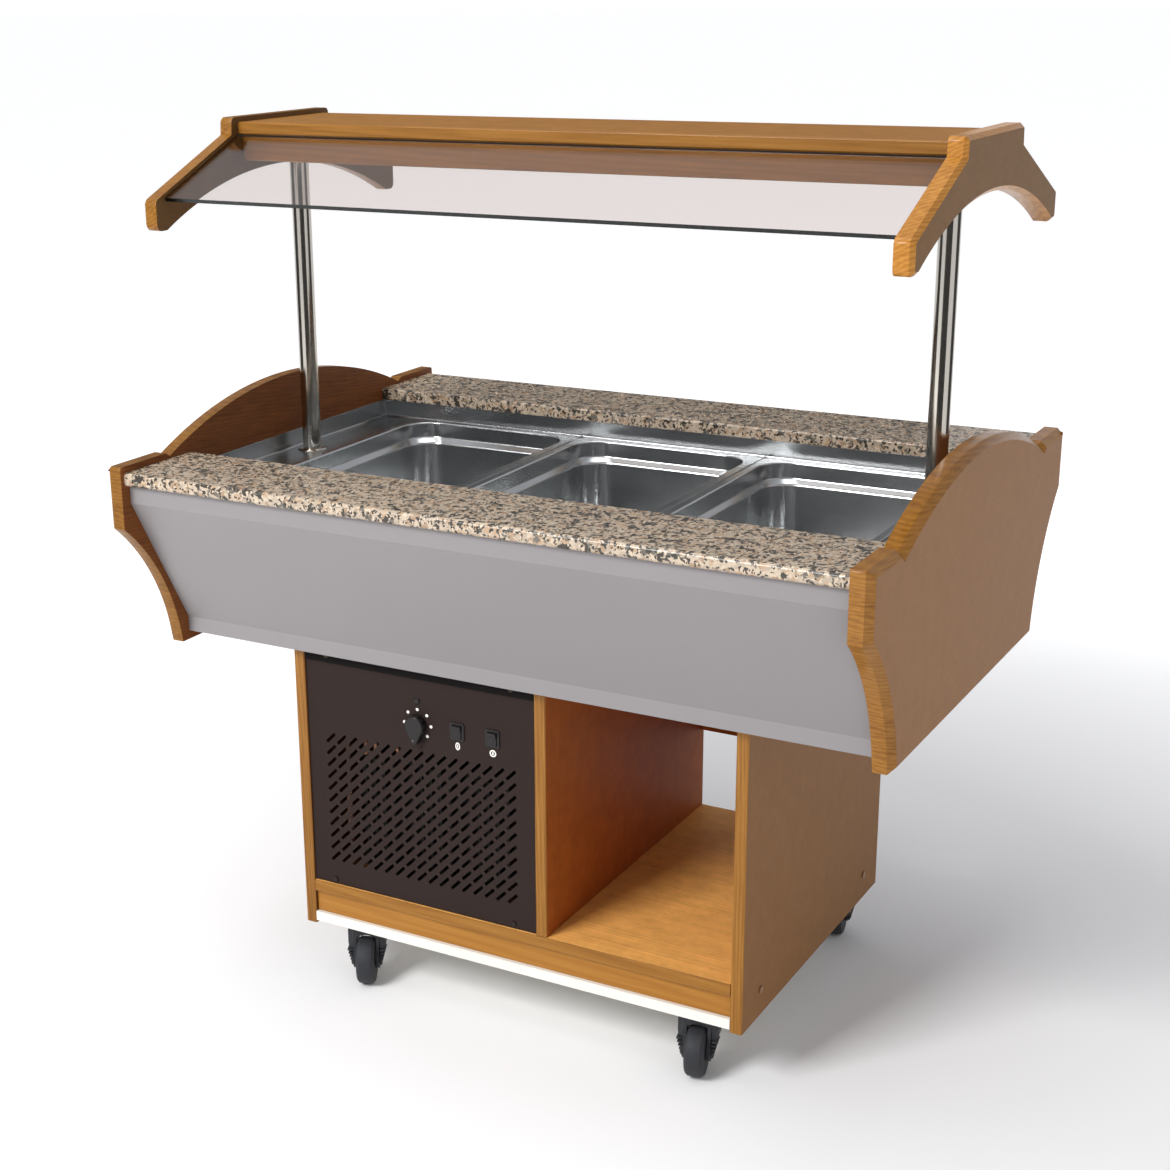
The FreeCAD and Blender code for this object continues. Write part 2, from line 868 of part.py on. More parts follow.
def gable():
    """Right-hand gable: arched underside, sloping edges and a groove for the glass."""
    arch_y = gable_half - gable_arch_in
    steps = [
        (gable_half, gable_foot_z, gable_foot_r),
        (gable_half, gable_foot_top_z, gable_foot_r),
        (gable_notch_y, canopy_board_z),
        (gable_top_y, gable_top_z, gable_top_r),
        (-gable_top_y, gable_top_z, gable_top_r),
        (-gable_notch_y, canopy_board_z),
        (-gable_half, gable_foot_top_z, gable_foot_r),
        (-gable_half, gable_foot_z, gable_foot_r),
        (-arch_y, gable_foot_z),
        ((0, gable_foot_z + gable_arch_h), (arch_y, gable_foot_z)),
    ]
    solid = slab_x(steps, gable_in_x, canopy_len / 2)
    outside = [f for f in solid.Faces if f.BoundBox.XMin > canopy_len / 2 - touch]
    solid = solid.makeChamfer(gable_bevel, outside[0].Edges)
    return solid.cut(glass_strip(groove_clear, gable_in_x + groove_deep + groove_clear))


def canopy_top():
    """Board along the top of the canopy, softened on its long edges."""
    hy = top_board_w / 2
    board = box(-gable_in_x, gable_in_x, -hy, hy, canopy_board_z, canopy_board_z + top_board_t)
    return bevel_edges(board, edge_soft, lambda e: runs_along(e, V(1, 0, 0)))


def canopy_beams():
    """Two upright boards under the canopy board."""
    low = canopy_board_z - beam_h
    board = box(-gable_in_x, gable_in_x, -beam_y, -beam_y + beam_t, low, canopy_board_z)
    board = bevel_edges(board, edge_soft,
                        lambda e: runs_along(e, V(1, 0, 0)) and e.BoundBox.ZMax < low + touch)
    return [board, mirror_y(board)]


def front_glass():
    return glass_strip(0, gable_in_x + groove_deep)


def lamp_housing():
    """Shallow steel tray under the canopy board with a holder at each end."""
    hx = lamp_len / 2
    hy = lamp_w / 2
    low = canopy_board_z - lamp_h
    tray = box(-hx, hx, -hy, hy, low, canopy_board_z)
    tray = tray.cut(box(-hx + lamp_wall, hx - lamp_wall, -hy + lamp_wall, hy - lamp_wall,
                        low, canopy_board_z - lamp_wall))
    parts = [tray]
    for side in (-1, 1):
        x0 = side * (hx - lamp_wall)
        x1 = x0 - side * lamp_holder_t
        z = canopy_board_z - tube_drop
        block = box(min(x0, x1), max(x0, x1), -tube_cap_r, tube_cap_r,
                    z - tube_cap_r, canopy_board_z - lamp_wall)
        parts.append(block)
    return fuse(parts)


def lamp_tube():
    """Straight lamp with a cap at each end, held between the two holders."""
    x = lamp_len / 2 - lamp_wall - lamp_holder_t
    z = canopy_board_z - tube_drop
    glass = cyl(tube_r, 2 * x, V(-x, 0, z), V(1, 0, 0))
    caps = [cyl(tube_cap_r, tube_cap_len, V(-x, 0, z), V(1, 0, 0)),
            cyl(tube_cap_r, tube_cap_len, V(x - tube_cap_len, 0, z), V(1, 0, 0))]
    return fuse([glass] + caps)


# ---- base cabinet ----
def upright_board(x0):
    """Board standing the full depth of the base, its front and back edges softened."""
    z0 = caster_h - side_drop if abs(x0) > base_in_x - board_t else floor_top_z
    board = box(x0, x0 + board_t, front_y, -front_y, z0, casing_bottom_z)
    return bevel_edges(board, edge_soft, lambda e: runs_along(e, V(0, 0, 1)))


def screw_spots():
    """Positions of the sheet screws as (x, z)."""
    off = bay_w / 2 - screw_side
    heights = (floor_top_z + screw_up, casing_bottom_z - screw_drop)
    return [(bay_mid_x + side * off, z) for side in (-1, 1) for z in heights]


def screw_shanks(grow):
    """Front and rear shanks of the sheet screws."""
    shanks = []
    for x, z in screw_spots():
        shanks.append(rod(screw_r + grow, screw_len, V(x, sheet_face_y, z), V(0, 1, 0)))
        shanks.append(rod(screw_r + grow, screw_len, V(x, -sheet_face_y, z), V(0, -1, 0)))
    return shanks


def base_floor():
    slab = box(-base_in_x, base_in_x, front_y, -front_y, floor_top_z - floor_t, floor_top_z)
    return bevel_edges(slab, edge_soft, lambda e: runs_along(e, V(1, 0, 0)))


def plinths():
    """Front and rear boards set back under the floor board."""
    y0 = front_y + plinth_recess
    z0 = caster_h + base_board_t
    board = box(-base_in_x, base_in_x, y0, y0 + plinth_t, z0, floor_top_z - floor_t)
    return [board, mirror_y(board)]


def base_board():
    return box(-base_in_x, base_in_x, front_y, -front_y, caster_h, caster_h + base_board_t)


def cabinet_battens():
    """Four battens that carry the front and rear sheets of the machine bay."""
    battens = []
    for z in (floor_top_z, casing_bottom_z - batten):
        strip = box(bay_left_x, partition_x, sheet_back_y, sheet_back_y + batten, z, z + batten)
        battens += [strip, mirror_y(strip)]
    shanks = screw_shanks(0)
    return [b.cut(shanks) for b in battens]


def bay_sheet():
    """Plain front sheet of the machine bay with its screw holes."""
    sheet = box(bay_left_x + sheet_gap, partition_x - sheet_gap, sheet_face_y, sheet_back_y,
                floor_top_z, casing_bottom_z - sheet_gap)
    return sheet.cut(screw_shanks(hole_clear))


def slot_cuts():
    """Grid of slanting air slots."""
    slots = []
    blank = box(-slot_len / 2, slot_len / 2, sheet_face_y - cut_over, sheet_back_y + cut_over,
                -slot_w / 2, slot_w / 2)
    slanted = turned(blank, V(0, 0, 0), V(0, 1, 0), slot_angle)
    for i in range(slot_cols):
        for j in range(slot_rows):
            slot = slanted.copy()
            x = bay_mid_x + (i - (slot_cols - 1) / 2) * slot_pitch
            slot.translate(V(x, 0, slot_top_z - j * slot_pitch))
            slots.append(slot)
    return slots


def control_panel():
    """Front sheet with air slots and holes for the knob, pilot and switches."""
    cuts = slot_cuts()
    deep = sheet_t + 2 * cut_over
    y0 = sheet_face_y - cut_over
    cuts.append(cyl(shaft_r + hole_clear, deep, V(bay_mid_x, y0, knob_z), V(0, 1, 0)))
    cuts.append(cyl(pilot_body_r + hole_clear, deep, V(bay_mid_x, y0, pilot_z), V(0, 1, 0)))
    hw = switch_body_w / 2 + hole_clear
    hh = switch_body_h / 2 + hole_clear
    for x in switch_x:
        cuts.append(box(x - hw, x + hw, y0, y0 + deep, switch_z - hh, switch_z + hh))
    return bay_sheet().cut(cuts)


def rear_grille():
    """Rear sheet of the machine bay with two columns of level slots."""
    sheet = mirror_y(bay_sheet())
    cuts = []
    for k in range(vent_rows):
        z = vent_low_z + k * vent_pitch
        for side in (-1, 1):
            x = bay_mid_x + side * (vent_slot_len + vent_mid) / 2
            cuts.append(box(x - vent_slot_len / 2, x + vent_slot_len / 2, -sheet_back_y - cut_over,
                            -sheet_face_y + cut_over, z, z + vent_slot_h))
    hole = V(gland_x, -sheet_back_y - cut_over, gland_z)
    cuts.append(cyl(gland_neck_r + hole_clear, sheet_t + 2 * cut_over, hole, V(0, 1, 0)))
    return sheet.cut(cuts)


def cable_gland():
    """Hollow gland in the rear sheet: two nuts and the threaded neck between them."""
    y = -sheet_back_y
    along = V(0, 1, 0)
    neck = cyl(gland_neck_r, sheet_t, V(gland_x, y, gland_z), along)
    inner = rod(gland_r, gland_inner_t, V(gland_x, y - gland_inner_t, gland_z), along, nut_sides)
    outer = rod(gland_r, gland_outer_t, V(gland_x, -sheet_face_y, gland_z), along, nut_sides)
    through = gland_inner_t + sheet_t + gland_outer_t
    bore = cyl(gland_bore_r, through, V(gland_x, y - gland_inner_t, gland_z), along)
    return fuse([neck, inner, outer]).cut(bore)


def rear_panel():
    """Board closing the upper back of the open bay."""
    x0 = partition_x + board_t
    low = casing_bottom_z - rear_panel_h
    return box(x0, base_in_x, -front_y - plinth_t, -front_y, low, casing_bottom_z)


def panel_screws():
    """Round-headed screws of the front and rear sheets."""
    screws = []
    for x, z in screw_spots():
        shank = rod(screw_r, screw_len, V(x, sheet_face_y, z), V(0, 1, 0))
        head = rod(screw_head_r, screw_head_h, V(x, sheet_face_y - screw_head_h, z), V(0, 1, 0))
        screw = fuse([shank, head])
        screws += [screw, mirror_y(screw)]
    return screws


def side_screws():
    """Low caps over the fixings of the floor, two on each side board."""
    caps = []
    for y in (front_y + cap_in, -front_y - cap_in):
        cap = rod(cap_r, cap_t, V(base_len / 2, y, caster_h + cap_up), V(1, 0, 0))
        caps += [cap, mirror_x(cap)]
    return caps


# ---- controls ----
def thermostat_body():
    """Thermostat block behind the sheet with its shaft through it."""
    block = box(bay_mid_x - thermostat_w / 2, bay_mid_x + thermostat_w / 2, sheet_back_y,
                sheet_back_y + thermostat_d, knob_z - thermostat_h / 2, knob_z + thermostat_h / 2)
    tall = sheet_t + shaft_len
    shaft = cyl(shaft_r, tall, V(bay_mid_x, sheet_face_y - shaft_len, knob_z), V(0, 1, 0))
    return fuse([block, shaft])


def thermostat_knob():
    """Teardrop knob: a disc drawn out to a rounded pointer."""
    y1 = sheet_face_y - knob_gap
    y0 = y1 - knob_h
    disc = cyl(knob_r, knob_h, V(bay_mid_x, y0, knob_z), V(0, 1, 0))
    reach = knob_tip - knob_tip_r
    sweep = math.acos((knob_r - knob_tip_r) / reach)
    points = []
    for side, r, dz in ((1, knob_r, 0), (1, knob_tip_r, reach), (-1, knob_tip_r, reach), (-1, knob_r, 0)):
        x = bay_mid_x + side * r * math.sin(sweep)
        points.append(V(x, y0, knob_z - dz - r * math.cos(sweep)))
    points.append(points[0])
    wedge = Part.Face(Part.makePolygon(points)).extrude(V(0, knob_h, 0))
    tip = cyl(knob_tip_r, knob_h, V(bay_mid_x, y0, knob_z - reach), V(0, 1, 0))
    body = fuse([disc, wedge, tip])
    body = bevel_edges(body, knob_bevel, lambda e: e.BoundBox.YMax < y0 + touch)
    bore_len = shaft_len - knob_gap + shaft_clear
    bore = cyl(shaft_r + shaft_clear, bore_len, V(bay_mid_x, y1 - bore_len, knob_z), V(0, 1, 0))
    return body.cut(bore)


def pilot_lamp():
    """Small domed lens on a round body."""
    front = sheet_face_y - pilot_h
    body = rod(pilot_body_r, sheet_t + pilot_body_len, V(bay_mid_x, sheet_face_y, pilot_z), V(0, 1, 0))
    lens = cyl(pilot_r, pilot_h, V(bay_mid_x, front, pilot_z), V(0, 1, 0))
    return fuse([body, bevel_edges(lens, pilot_bevel, lambda e: e.BoundBox.YMax < front + touch)])


def switch_body(x):
    """Switch housing with a bezel and a round-bottomed cavity for the rocker."""
    y0 = sheet_face_y - bezel_t
    bezel = bezel_plate(x, bezel_w, bezel_h, y0, sheet_face_y)
    inner = box(x - switch_body_w / 2, x + switch_body_w / 2, sheet_face_y,
                sheet_face_y + switch_body_d, switch_z - switch_body_h / 2,
                switch_z + switch_body_h / 2)
    half = rocker_w / 2 + rocker_clear
    r = rocker_r + rocker_clear
    cavity = cyl(r, 2 * half, V(x - half, sheet_face_y, switch_z), V(1, 0, 0))
    return fuse([bezel, inner]).cut(cavity)


def bezel_plate(x, w, h, y0, y1):
    """Upright plate with cut corners, seen from the front."""
    plate = box(x - w / 2, x + w / 2, y0, y1, switch_z - h / 2, switch_z + h / 2)
    return bevel_edges(plate, bezel_t, lambda e: runs_along(e, V(0, 1, 0)))


def rocker(x):
    """Rocker with a shallow valley across its face, resting tilted."""
    y = sheet_face_y
    drum = cyl(rocker_r, rocker_w, V(x - rocker_w / 2, y, switch_z), V(1, 0, 0))
    reach = rocker_r + cut_over
    steps = [
        (y + rocker_deep, switch_z - reach),
        (y + rocker_deep, switch_z + reach),
        (y - bezel_t - rocker_proud, switch_z + reach),
        (y - bezel_t - rocker_valley, switch_z),
        (y - bezel_t - rocker_proud, switch_z - reach),
    ]
    block = drum.common(slab_x(steps, x - rocker_w / 2, x + rocker_w / 2))
    return turned(block, V(x, y, switch_z), V(1, 0, 0), rocker_tilt)


# ---- refrigeration ----
def condenser_coil():
    """Finned block with flat return bends at both sides and two feet."""
    x0 = bay_mid_x - cond_len / 2
    x1 = bay_mid_x + cond_len / 2
    z0 = floor_top_z + cond_foot
    core_y = cond_y + (cond_d - cond_core) / 2
    parts = [box(x0, x1, core_y, core_y + cond_core, z0, z0 + cond_h)]
    step = (cond_len - cond_fin_t) / (cond_fins - 1)
    for k in range(cond_fins):
        x = x0 + k * step
        parts.append(box(x, x + cond_fin_t, cond_y, cond_y + cond_d, z0, z0 + cond_h))
    row = cond_h / (2 * cond_rows)
    for side, x in ((-1, x0), (1, x1)):
        for k in range(cond_rows - (1 if side > 0 else 0)):
            z = z0 + row + 2 * k * row + (row if side > 0 else 0)
            far = x + side * cond_bend
            bend = box(min(x, far), max(x, far), core_y, core_y + cond_core, z - row / 2, z + row / 2)
            parts.append(bevel_edges(bend, cond_bend / 2, lambda e: runs_along(e, V(0, 1, 0))
                                     and abs(e.BoundBox.XMin - far) < touch))
    for x in (x0, x1 - cond_d):
        parts.append(box(x, x + cond_d, cond_y, cond_y + cond_d, floor_top_z, z0))
    return fuse(parts)


def fan_shroud():
    """Sheet shroud with a round opening and the motor on three arms behind it."""
    x0 = bay_mid_x - cond_len / 2
    x1 = bay_mid_x + cond_len / 2
    y0 = fan_y
    y1 = y0 + shroud_d
    z = fan_z
    frame = box(x0, x1, y0, y1, floor_top_z, cond_top_z)
    frame = frame.cut(box(x0 + shroud_t, x1 - shroud_t, y0, y1 - shroud_t, floor_top_z + shroud_t,
                          cond_top_z - shroud_t))
    frame = frame.cut(cyl(fan_r + fan_clear, shroud_d, V(bay_mid_x, y0, z), V(0, 1, 0)))
    back = y1 + motor_gap
    motor = cyl(motor_r, motor_len, V(bay_mid_x, back, z), V(0, 1, 0))
    hub_back = y1 - shroud_t - fan_hub_gap - fan_hub_t
    spindle = cyl(spindle_r, back - hub_back, V(bay_mid_x, hub_back, z), V(0, 1, 0))
    arms = []
    for k in range(fan_arms):
        reach = fan_r + fan_clear + arm_w
        arm = box(bay_mid_x - arm_w / 2, bay_mid_x + arm_w / 2, y1, back + motor_gap, z, z + reach)
        arms.append(turned(arm, V(bay_mid_x, 0, z), V(0, 1, 0), 360.0 / fan_arms * (k + 0.5)))
    return fuse([frame, motor, spindle] + arms)


def condenser_fan():
    """Hub with pitched blades, turning on the motor spindle."""
    z = fan_z
    y0 = fan_y + shroud_d - shroud_t - fan_hub_gap - fan_hub_t
    hub = cyl(fan_hub_r, fan_hub_t, V(bay_mid_x, y0, z), V(0, 1, 0))
    mid_y = y0 + fan_hub_t / 2
    blades = []
    for k in range(fan_blades):
        blade = box(bay_mid_x - fan_blade_w / 2, bay_mid_x + fan_blade_w / 2, mid_y - fan_blade_t / 2,
                    mid_y + fan_blade_t / 2, z + fan_hub_r - fan_blade_root, z + fan_r - fan_blade_root)
        tip_z = blade.BoundBox.ZMax - touch
        blade = bevel_edges(blade, fan_tip, lambda e: runs_along(e, V(0, 1, 0))
                            and e.BoundBox.ZMin > tip_z)
        blade = turned(blade, V(bay_mid_x, mid_y, z), V(0, 0, 1), fan_pitch_deg)
        blades.append(turned(blade, V(bay_mid_x, mid_y, z), V(0, 1, 0), 360.0 / fan_blades * k))
    bore = cyl(spindle_r + shaft_clear, fan_hub_t, V(bay_mid_x, y0, z), V(0, 1, 0))
    return fuse([hub] + blades).cut(bore)


def compressor():
    """Hermetic compressor: welded can with a bevelled top on a foot plate with four feet."""
    plate_z = floor_top_z + comp_foot_h
    parts = [box(comp_x - comp_plate_len / 2, comp_x + comp_plate_len / 2, comp_y - comp_plate_w / 2,
                 comp_y + comp_plate_w / 2, plate_z, plate_z + comp_plate_t)]
    for sx in (-1, 1):
        for sy in (-1, 1):
            h = comp_foot_w / 2
            x = comp_x + sx * (comp_plate_len / 2 - h)
            y = comp_y + sy * (comp_plate_w / 2 - h)
            parts.append(box(x - h, x + h, y - h, y + h, floor_top_z, plate_z))
    low = plate_z + comp_plate_t
    can = cyl(comp_r, comp_h, V(comp_x, comp_y, low))
    can = bevel_edges(can, comp_dome, lambda e: e.BoundBox.ZMin > low + comp_h - touch)
    side = comp_x + comp_r
    wiring = box(side - comp_box_sink, side + comp_box_out, comp_y - comp_box / 2,
                 comp_y + comp_box / 2, low + comp_box_up, low + comp_box_up + comp_box)
    parts += [can, wiring]
    for x, y in compressor_stubs():
        parts.append(rod(stub_r, stub_h + stub_sink, V(x, y, low + comp_h - stub_sink), V(0, 0, 1)))
    return fuse(parts)


def compressor_stubs():
    """Positions of the discharge and suction stubs on the compressor's top."""
    return [(comp_x, comp_y - stub_offset), (comp_x, comp_y + stub_offset)]


def refrigerant_pipes():
    """Copper runs between compressor, condenser, drier and cooling coil."""
    top = floor_top_z + comp_foot_h + comp_plate_t + comp_h + stub_h
    high = top + pipe_rise
    low_y, high_y = coil_tail_y()
    (dx, dy), (sx, sy) = compressor_stubs()
    mid_y = cond_y + cond_d / 2
    discharge = tube_path([V(dx, dy, top), V(dx, dy, high), V(dx, mid_y, high), V(dx, mid_y, cond_top_z)],
                          pipe_r, bend_r)
    suction = tube_path([V(sx, sy, top), V(sx, sy, high), V(coil_tail_x, high_y, high),
                         V(coil_tail_x, high_y, coil_tail_end_z)], pipe_r, bend_r)
    out_x = bay_mid_x - cond_len / 2 + liquid_in
    low = floor_top_z + liquid_low
    liquid = tube_path([V(out_x, mid_y, cond_top_z), V(out_x, mid_y, cond_top_z + pipe_rise),
                        V(coil_tail_x, mid_y, cond_top_z + pipe_rise), V(coil_tail_x, mid_y, low),
                        V(coil_tail_x, low_y, low), V(coil_tail_x, low_y, coil_tail_end_z)],
                       pipe_r, bend_r)
    drier = cyl(drier_r, drier_len, V(coil_tail_x, mid_y, fan_z - drier_len / 2))
    return [discharge, suction, fuse([liquid, drier])]


# ---- casters ----
def caster_spot(tag):
    """Swivel centre of a caster."""
    x = base_len / 2 - (caster_front_in if tag[0] == "f" else caster_rear_in)
    y = (base_depth / 2 - caster_side) * (-1 if tag[0] == "f" else 1)
    return V(-x if tag[1] == "l" else x, y, 0)


def placed(shape, tag):
    """Shape drawn trailing along +Y from the swivel centre, turned and moved to its corner."""
    copy = turned(shape, V(0, 0, 0), V(0, 0, 1), caster_turn[tag])
    copy.translate(caster_spot(tag))
    return copy


def caster_plates():
    """Four top plates, each with its kingpin."""
    plates = []
    for tag in caster_turn:
        h = plate_w / 2
        plate = box(-h, h, -h, h, caster_h - plate_t, caster_h)
        plate = bevel_edges(plate, plate_bevel, lambda e: runs_along(e, V(0, 0, 1)))
        pin = rod(kingpin_r, kingpin_len, V(0, 0, caster_h - plate_t - kingpin_len), V(0, 0, 1))
        plate = fuse([plate, pin])
        plate.translate(caster_spot(tag))
        plates.append(plate)
    return plates


def caster_hood():
    """Housing of a fork: its skirts come down on both sides of an arch over the wheel."""
    top = caster_h - plate_t - swivel_gap
    h = hood_w / 2
    crown_z = top - hood_h
    arch = h - hood_wall
    low = crown_z - arch
    steps = [
        (-h, top),
        (-h, top - hood_skirt),
        (-arch, low),
        ((0, crown_z), (arch, low)),
        (h, top - hood_skirt),
        (h, top),
    ]
    hood = turned(slab_x(steps, -h, h), V(0, 0, 0), V(0, 0, 1), 90)
    return bevel_edges(hood, hood_bevel, lambda e: runs_along(e, V(0, 0, 1)))


def caster_fork():
    """Hooded fork with two cheeks and the wheel axle between them."""
    top = caster_h - plate_t - swivel_gap
    h = hood_w / 2
    inner = wheel_w / 2 + wheel_gap
    outer = inner + cheek_t
    steps = [
        (-h + cheek_front, top - hood_h),
        (trail - cheek_boss_r, wheel_r),
        ((trail, wheel_r - cheek_boss_r), (trail + cheek_boss_r, wheel_r)),
        (h, top - hood_h),
    ]
    cheek = slab_x(steps, inner, outer)
    axle_len = 2 * (outer + axle_head_t)
    axle = rod(axle_r, axle_len, V(-axle_len / 2, trail, wheel_r), V(1, 0, 0))
    parts = [caster_hood(), cheek, mirror_x(cheek), axle]
    for side in (-1, 1):
        end = V(side * outer, trail, wheel_r)
        parts.append(rod(axle_head_r, axle_head_t, end, V(side, 0, 0), nut_sides))
    bore = cyl(kingpin_r + pin_clear, kingpin_len + swivel_gap, V(0, 0, top - kingpin_len - swivel_gap))
    return fuse(parts).cut(bore)


def caster_wheel():
    """Plastic wheel with bevelled tread shoulders."""
    half = wheel_w / 2
    wheel = cyl(wheel_r, wheel_w, V(-half, trail, wheel_r), V(1, 0, 0))
    wheel = bevel_edges(wheel, wheel_bevel, lambda e: e.BoundBox.XLength < touch)
    return wheel.cut(cyl(axle_r + pin_clear, wheel_w, V(-half, trail, wheel_r), V(1, 0, 0)))


def nodes():
    """Every node of the assembly as name and shapes."""
    right = end_panel()
    slab = stone_slab()
    skirt = fascia()
    side = gable()
    yield "end_panel_left", [mirror_x(right)]
    yield "end_panel_right", [right]
    yield "stone_slab_front", [mirror_y(slab)]
    yield "stone_slab_rear", [slab]
    yield "fascia_front", [mirror_y(skirt)]
    yield "fascia_rear", [skirt]
    yield "well_liner", well_liner()
    yield "well_insulation", [well_insulation()]
    yield "well_casing", [well_casing()]
    yield "evaporator_coil", [evaporator_coil()]
    yield "drain_valve", [drain_valve()]
    yield "drain_lever", [drain_lever()]
    for k, name in enumerate(pan_names):
        yield "pan_" + name, [pan((k - (len(pan_names) - 1) / 2) * pan_pitch)]
    for name, k in (("left", -0.5), ("right", 0.5)):
        yield "divider_bar_" + name, [divider_bar(k * pan_pitch)]
    yield "post_left", [post(-post_x)]
    yield "post_right", [post(post_x)]
    yield "post_rosettes", post_rosettes()
    yield "gable_left", [mirror_x(side)]
    yield "gable_right", [side]
    yield "canopy_top", [canopy_top()]
    yield "canopy_beams", canopy_beams()
    yield "front_glass", [front_glass()]
    yield "lamp_housing", [lamp_housing()]
    yield "lamp_tube", [lamp_tube()]
    yield "base_side_left", [upright_board(-base_len / 2)]
    yield "base_side_right", [upright_board(base_in_x)]
    yield "base_partition", [upright_board(partition_x)]
    yield "base_floor", [base_floor()]
    yield "plinths", plinths()
    yield "base_board", [base_board()]
    yield "cabinet_battens", cabinet_battens()
    yield "control_panel", [control_panel()]
    yield "rear_grille", [rear_grille()]
    yield "rear_panel", [rear_panel()]
    yield "cable_gland", [cable_gland()]
    yield "panel_screws", panel_screws()
    yield "side_screws", side_screws()
    yield "thermostat_body", [thermostat_body()]
    yield "thermostat_knob", [thermostat_knob()]
    yield "pilot_lamp", [pilot_lamp()]
    yield "switch_bodies", [switch_body(x) for x in switch_x]
    yield "rocker_power", [rocker(switch_x[0])]
    yield "rocker_lamp", [rocker(switch_x[1])]
    yield "condenser_coil", [condenser_coil()]
    yield "fan_shroud", [fan_shroud()]
    yield "condenser_fan", [condenser_fan()]
    yield "compressor", [compressor()]
    yield "refrigerant_pipes", refrigerant_pipes()
    yield "caster_plates", caster_plates()
    fork = caster_fork()
    wheel = caster_wheel()
    for tag in caster_turn:
        yield "caster_fork_" + tag, [placed(fork, tag)]
        yield "caster_wheel_" + tag, [placed(wheel, tag)]


for node_name, shapes in nodes():
    solids = [s for shape in shapes for s in shape.Solids]
    result = solids[0] if len(solids) == 1 else Part.makeCompound(solids)
    result.exportStep("parts/" + node_name + ".step")
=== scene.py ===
import json
import math

import bmesh
import bpy
from bpy.props import FloatProperty, FloatVectorProperty, IntProperty, PointerProperty
from mathutils import Matrix, Vector


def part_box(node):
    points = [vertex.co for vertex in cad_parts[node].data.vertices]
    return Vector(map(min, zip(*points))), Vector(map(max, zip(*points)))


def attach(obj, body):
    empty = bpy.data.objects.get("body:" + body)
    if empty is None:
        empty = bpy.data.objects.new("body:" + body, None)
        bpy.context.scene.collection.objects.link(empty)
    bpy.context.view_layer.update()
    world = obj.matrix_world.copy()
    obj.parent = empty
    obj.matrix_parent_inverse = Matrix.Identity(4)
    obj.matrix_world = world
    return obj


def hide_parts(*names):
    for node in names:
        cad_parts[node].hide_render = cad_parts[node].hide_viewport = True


bl_info = {
    "name": "Mobile Salad Bar",
    "version": (1, 0, 0),
    "blender": (4, 5, 0),
    "location": "View3D > Sidebar > Salad Bar",
    "description": "Dresses the frame of a mobile salad bar in wood, stone, steel, glass and plastic",
    "category": "Object",
}

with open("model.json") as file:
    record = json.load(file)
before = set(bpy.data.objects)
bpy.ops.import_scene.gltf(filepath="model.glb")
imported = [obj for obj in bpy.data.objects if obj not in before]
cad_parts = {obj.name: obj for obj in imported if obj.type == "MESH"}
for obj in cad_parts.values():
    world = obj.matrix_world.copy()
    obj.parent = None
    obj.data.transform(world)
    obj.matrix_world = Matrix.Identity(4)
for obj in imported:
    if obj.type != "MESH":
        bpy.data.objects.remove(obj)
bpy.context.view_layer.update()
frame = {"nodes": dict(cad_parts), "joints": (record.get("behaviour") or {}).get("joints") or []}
NODES = frame["nodes"]

# The camera stands at the front right, a little above the canopy. Its frame is square.
FRAME_SIDE = 1170
CAMERA_AT = (1.31364, -2.55254, 1.52840)
CAMERA_YAW = 30.29
CAMERA_PITCH = -18.11
CAMERA_ROLL = -0.91
FOCAL_PIXELS = 1937.4
AXIS_PIXEL = (497.8, 614.3)
SENSOR_MM = 36.0

CASTER_TAGS = ("fl", "fr", "rl", "rr")
PAN_TAGS = ("left", "centre", "right")

LEFT = (-1.0, 0.0, 0.0)
RIGHT = (1.0, 0.0, 0.0)
FRONT = (0.0, -1.0, 0.0)
ABOVE = (0.0, 0.0, 1.0)
BELOW = (0.0, 0.0, -1.0)
SQUARE = ((-1, -1), (1, -1), (1, 1), (-1, 1))

# Grain of the boards: the waves a metre of its streaks on each axis, and the direction in which its
# growth lines follow each other.
LENGTHWISE_GRAIN = ((8.0, 360.0, 360.0), (0.02, 1.0, 0.4))
UPRIGHT_GRAIN = ((330.0, 330.0, 12.0), (1.0, 0.5, 0.02))
END_PANEL_GRAIN = ((90.0, 16.0, 480.0), (0.05, 0.10, 1.0))
GABLE_GRAIN = ((90.0, 50.0, 360.0), (-0.45, 0.20, 0.9))

# A broad streak spans this many fine ones, pores are finer by this factor, and growth lines stray
# by this many radians. A surface that looks along an axis by BROAD_FACE or more is a broad face.
BROAD_STREAK = 7.0
PORE_FINENESS = 3.2
GROWTH_STRAY = 22.0
BROAD_FACE = 0.93

# Points in each bend of a sheet and in each corner of a pan, and the least corner radius in metres.
BEND_STEPS = 7
PAN_CORNER_STEPS = 13
LEAST_CORNER = 0.004
# Bend radii in metres from the turned edge inwards: a pan's down to its heel, the well liner's down
# to its ledge, and the well's down to its floor.
PAN_BENDS = (0.0014, 0.0026, 0.0045, 0.0060)
LEDGE_BENDS = (0.0005, 0.0005, 0.0035)
WELL_BENDS = (0.0050, 0.0120)
# The liner's turned edge, upstand corner, flat run beside the ledge's bends and floor ring, in metres.
LINER_LIP, LINER_CORNER, LEDGE_RUN, FLOOR_RING = 0.0020, 0.0012, 0.0060, 0.0300

# Dark strip of painted shadow under the top board, over the glass's upper end, in metres: its lap over the
# glass, its gap to it, and how far it stands off the glass's face and its end.
GLASS_SHADOW_STRIP = (0.0040, 0.00005, 0.0004, 0.0006)
# Dark strip of painted shadow over the bay's front sheet in metres: its thickness, its height and its edge
# radius.
BAY_SHADOW_STRIP = (0.0020, 0.0205, 0.0008)
# Dot on the knob in metres: its radius, where it is from the knob's middle and tip, and how far it
# reaches in and out.
KNOB_DOT = (0.0012, 0.0010, 0.0075, 0.0003, 0.0001)

# The dial has a dot at every step from the left round over the top.
DIAL_DOTS = 6
DIAL_START = 180.0
DIAL_STEP = 45.0
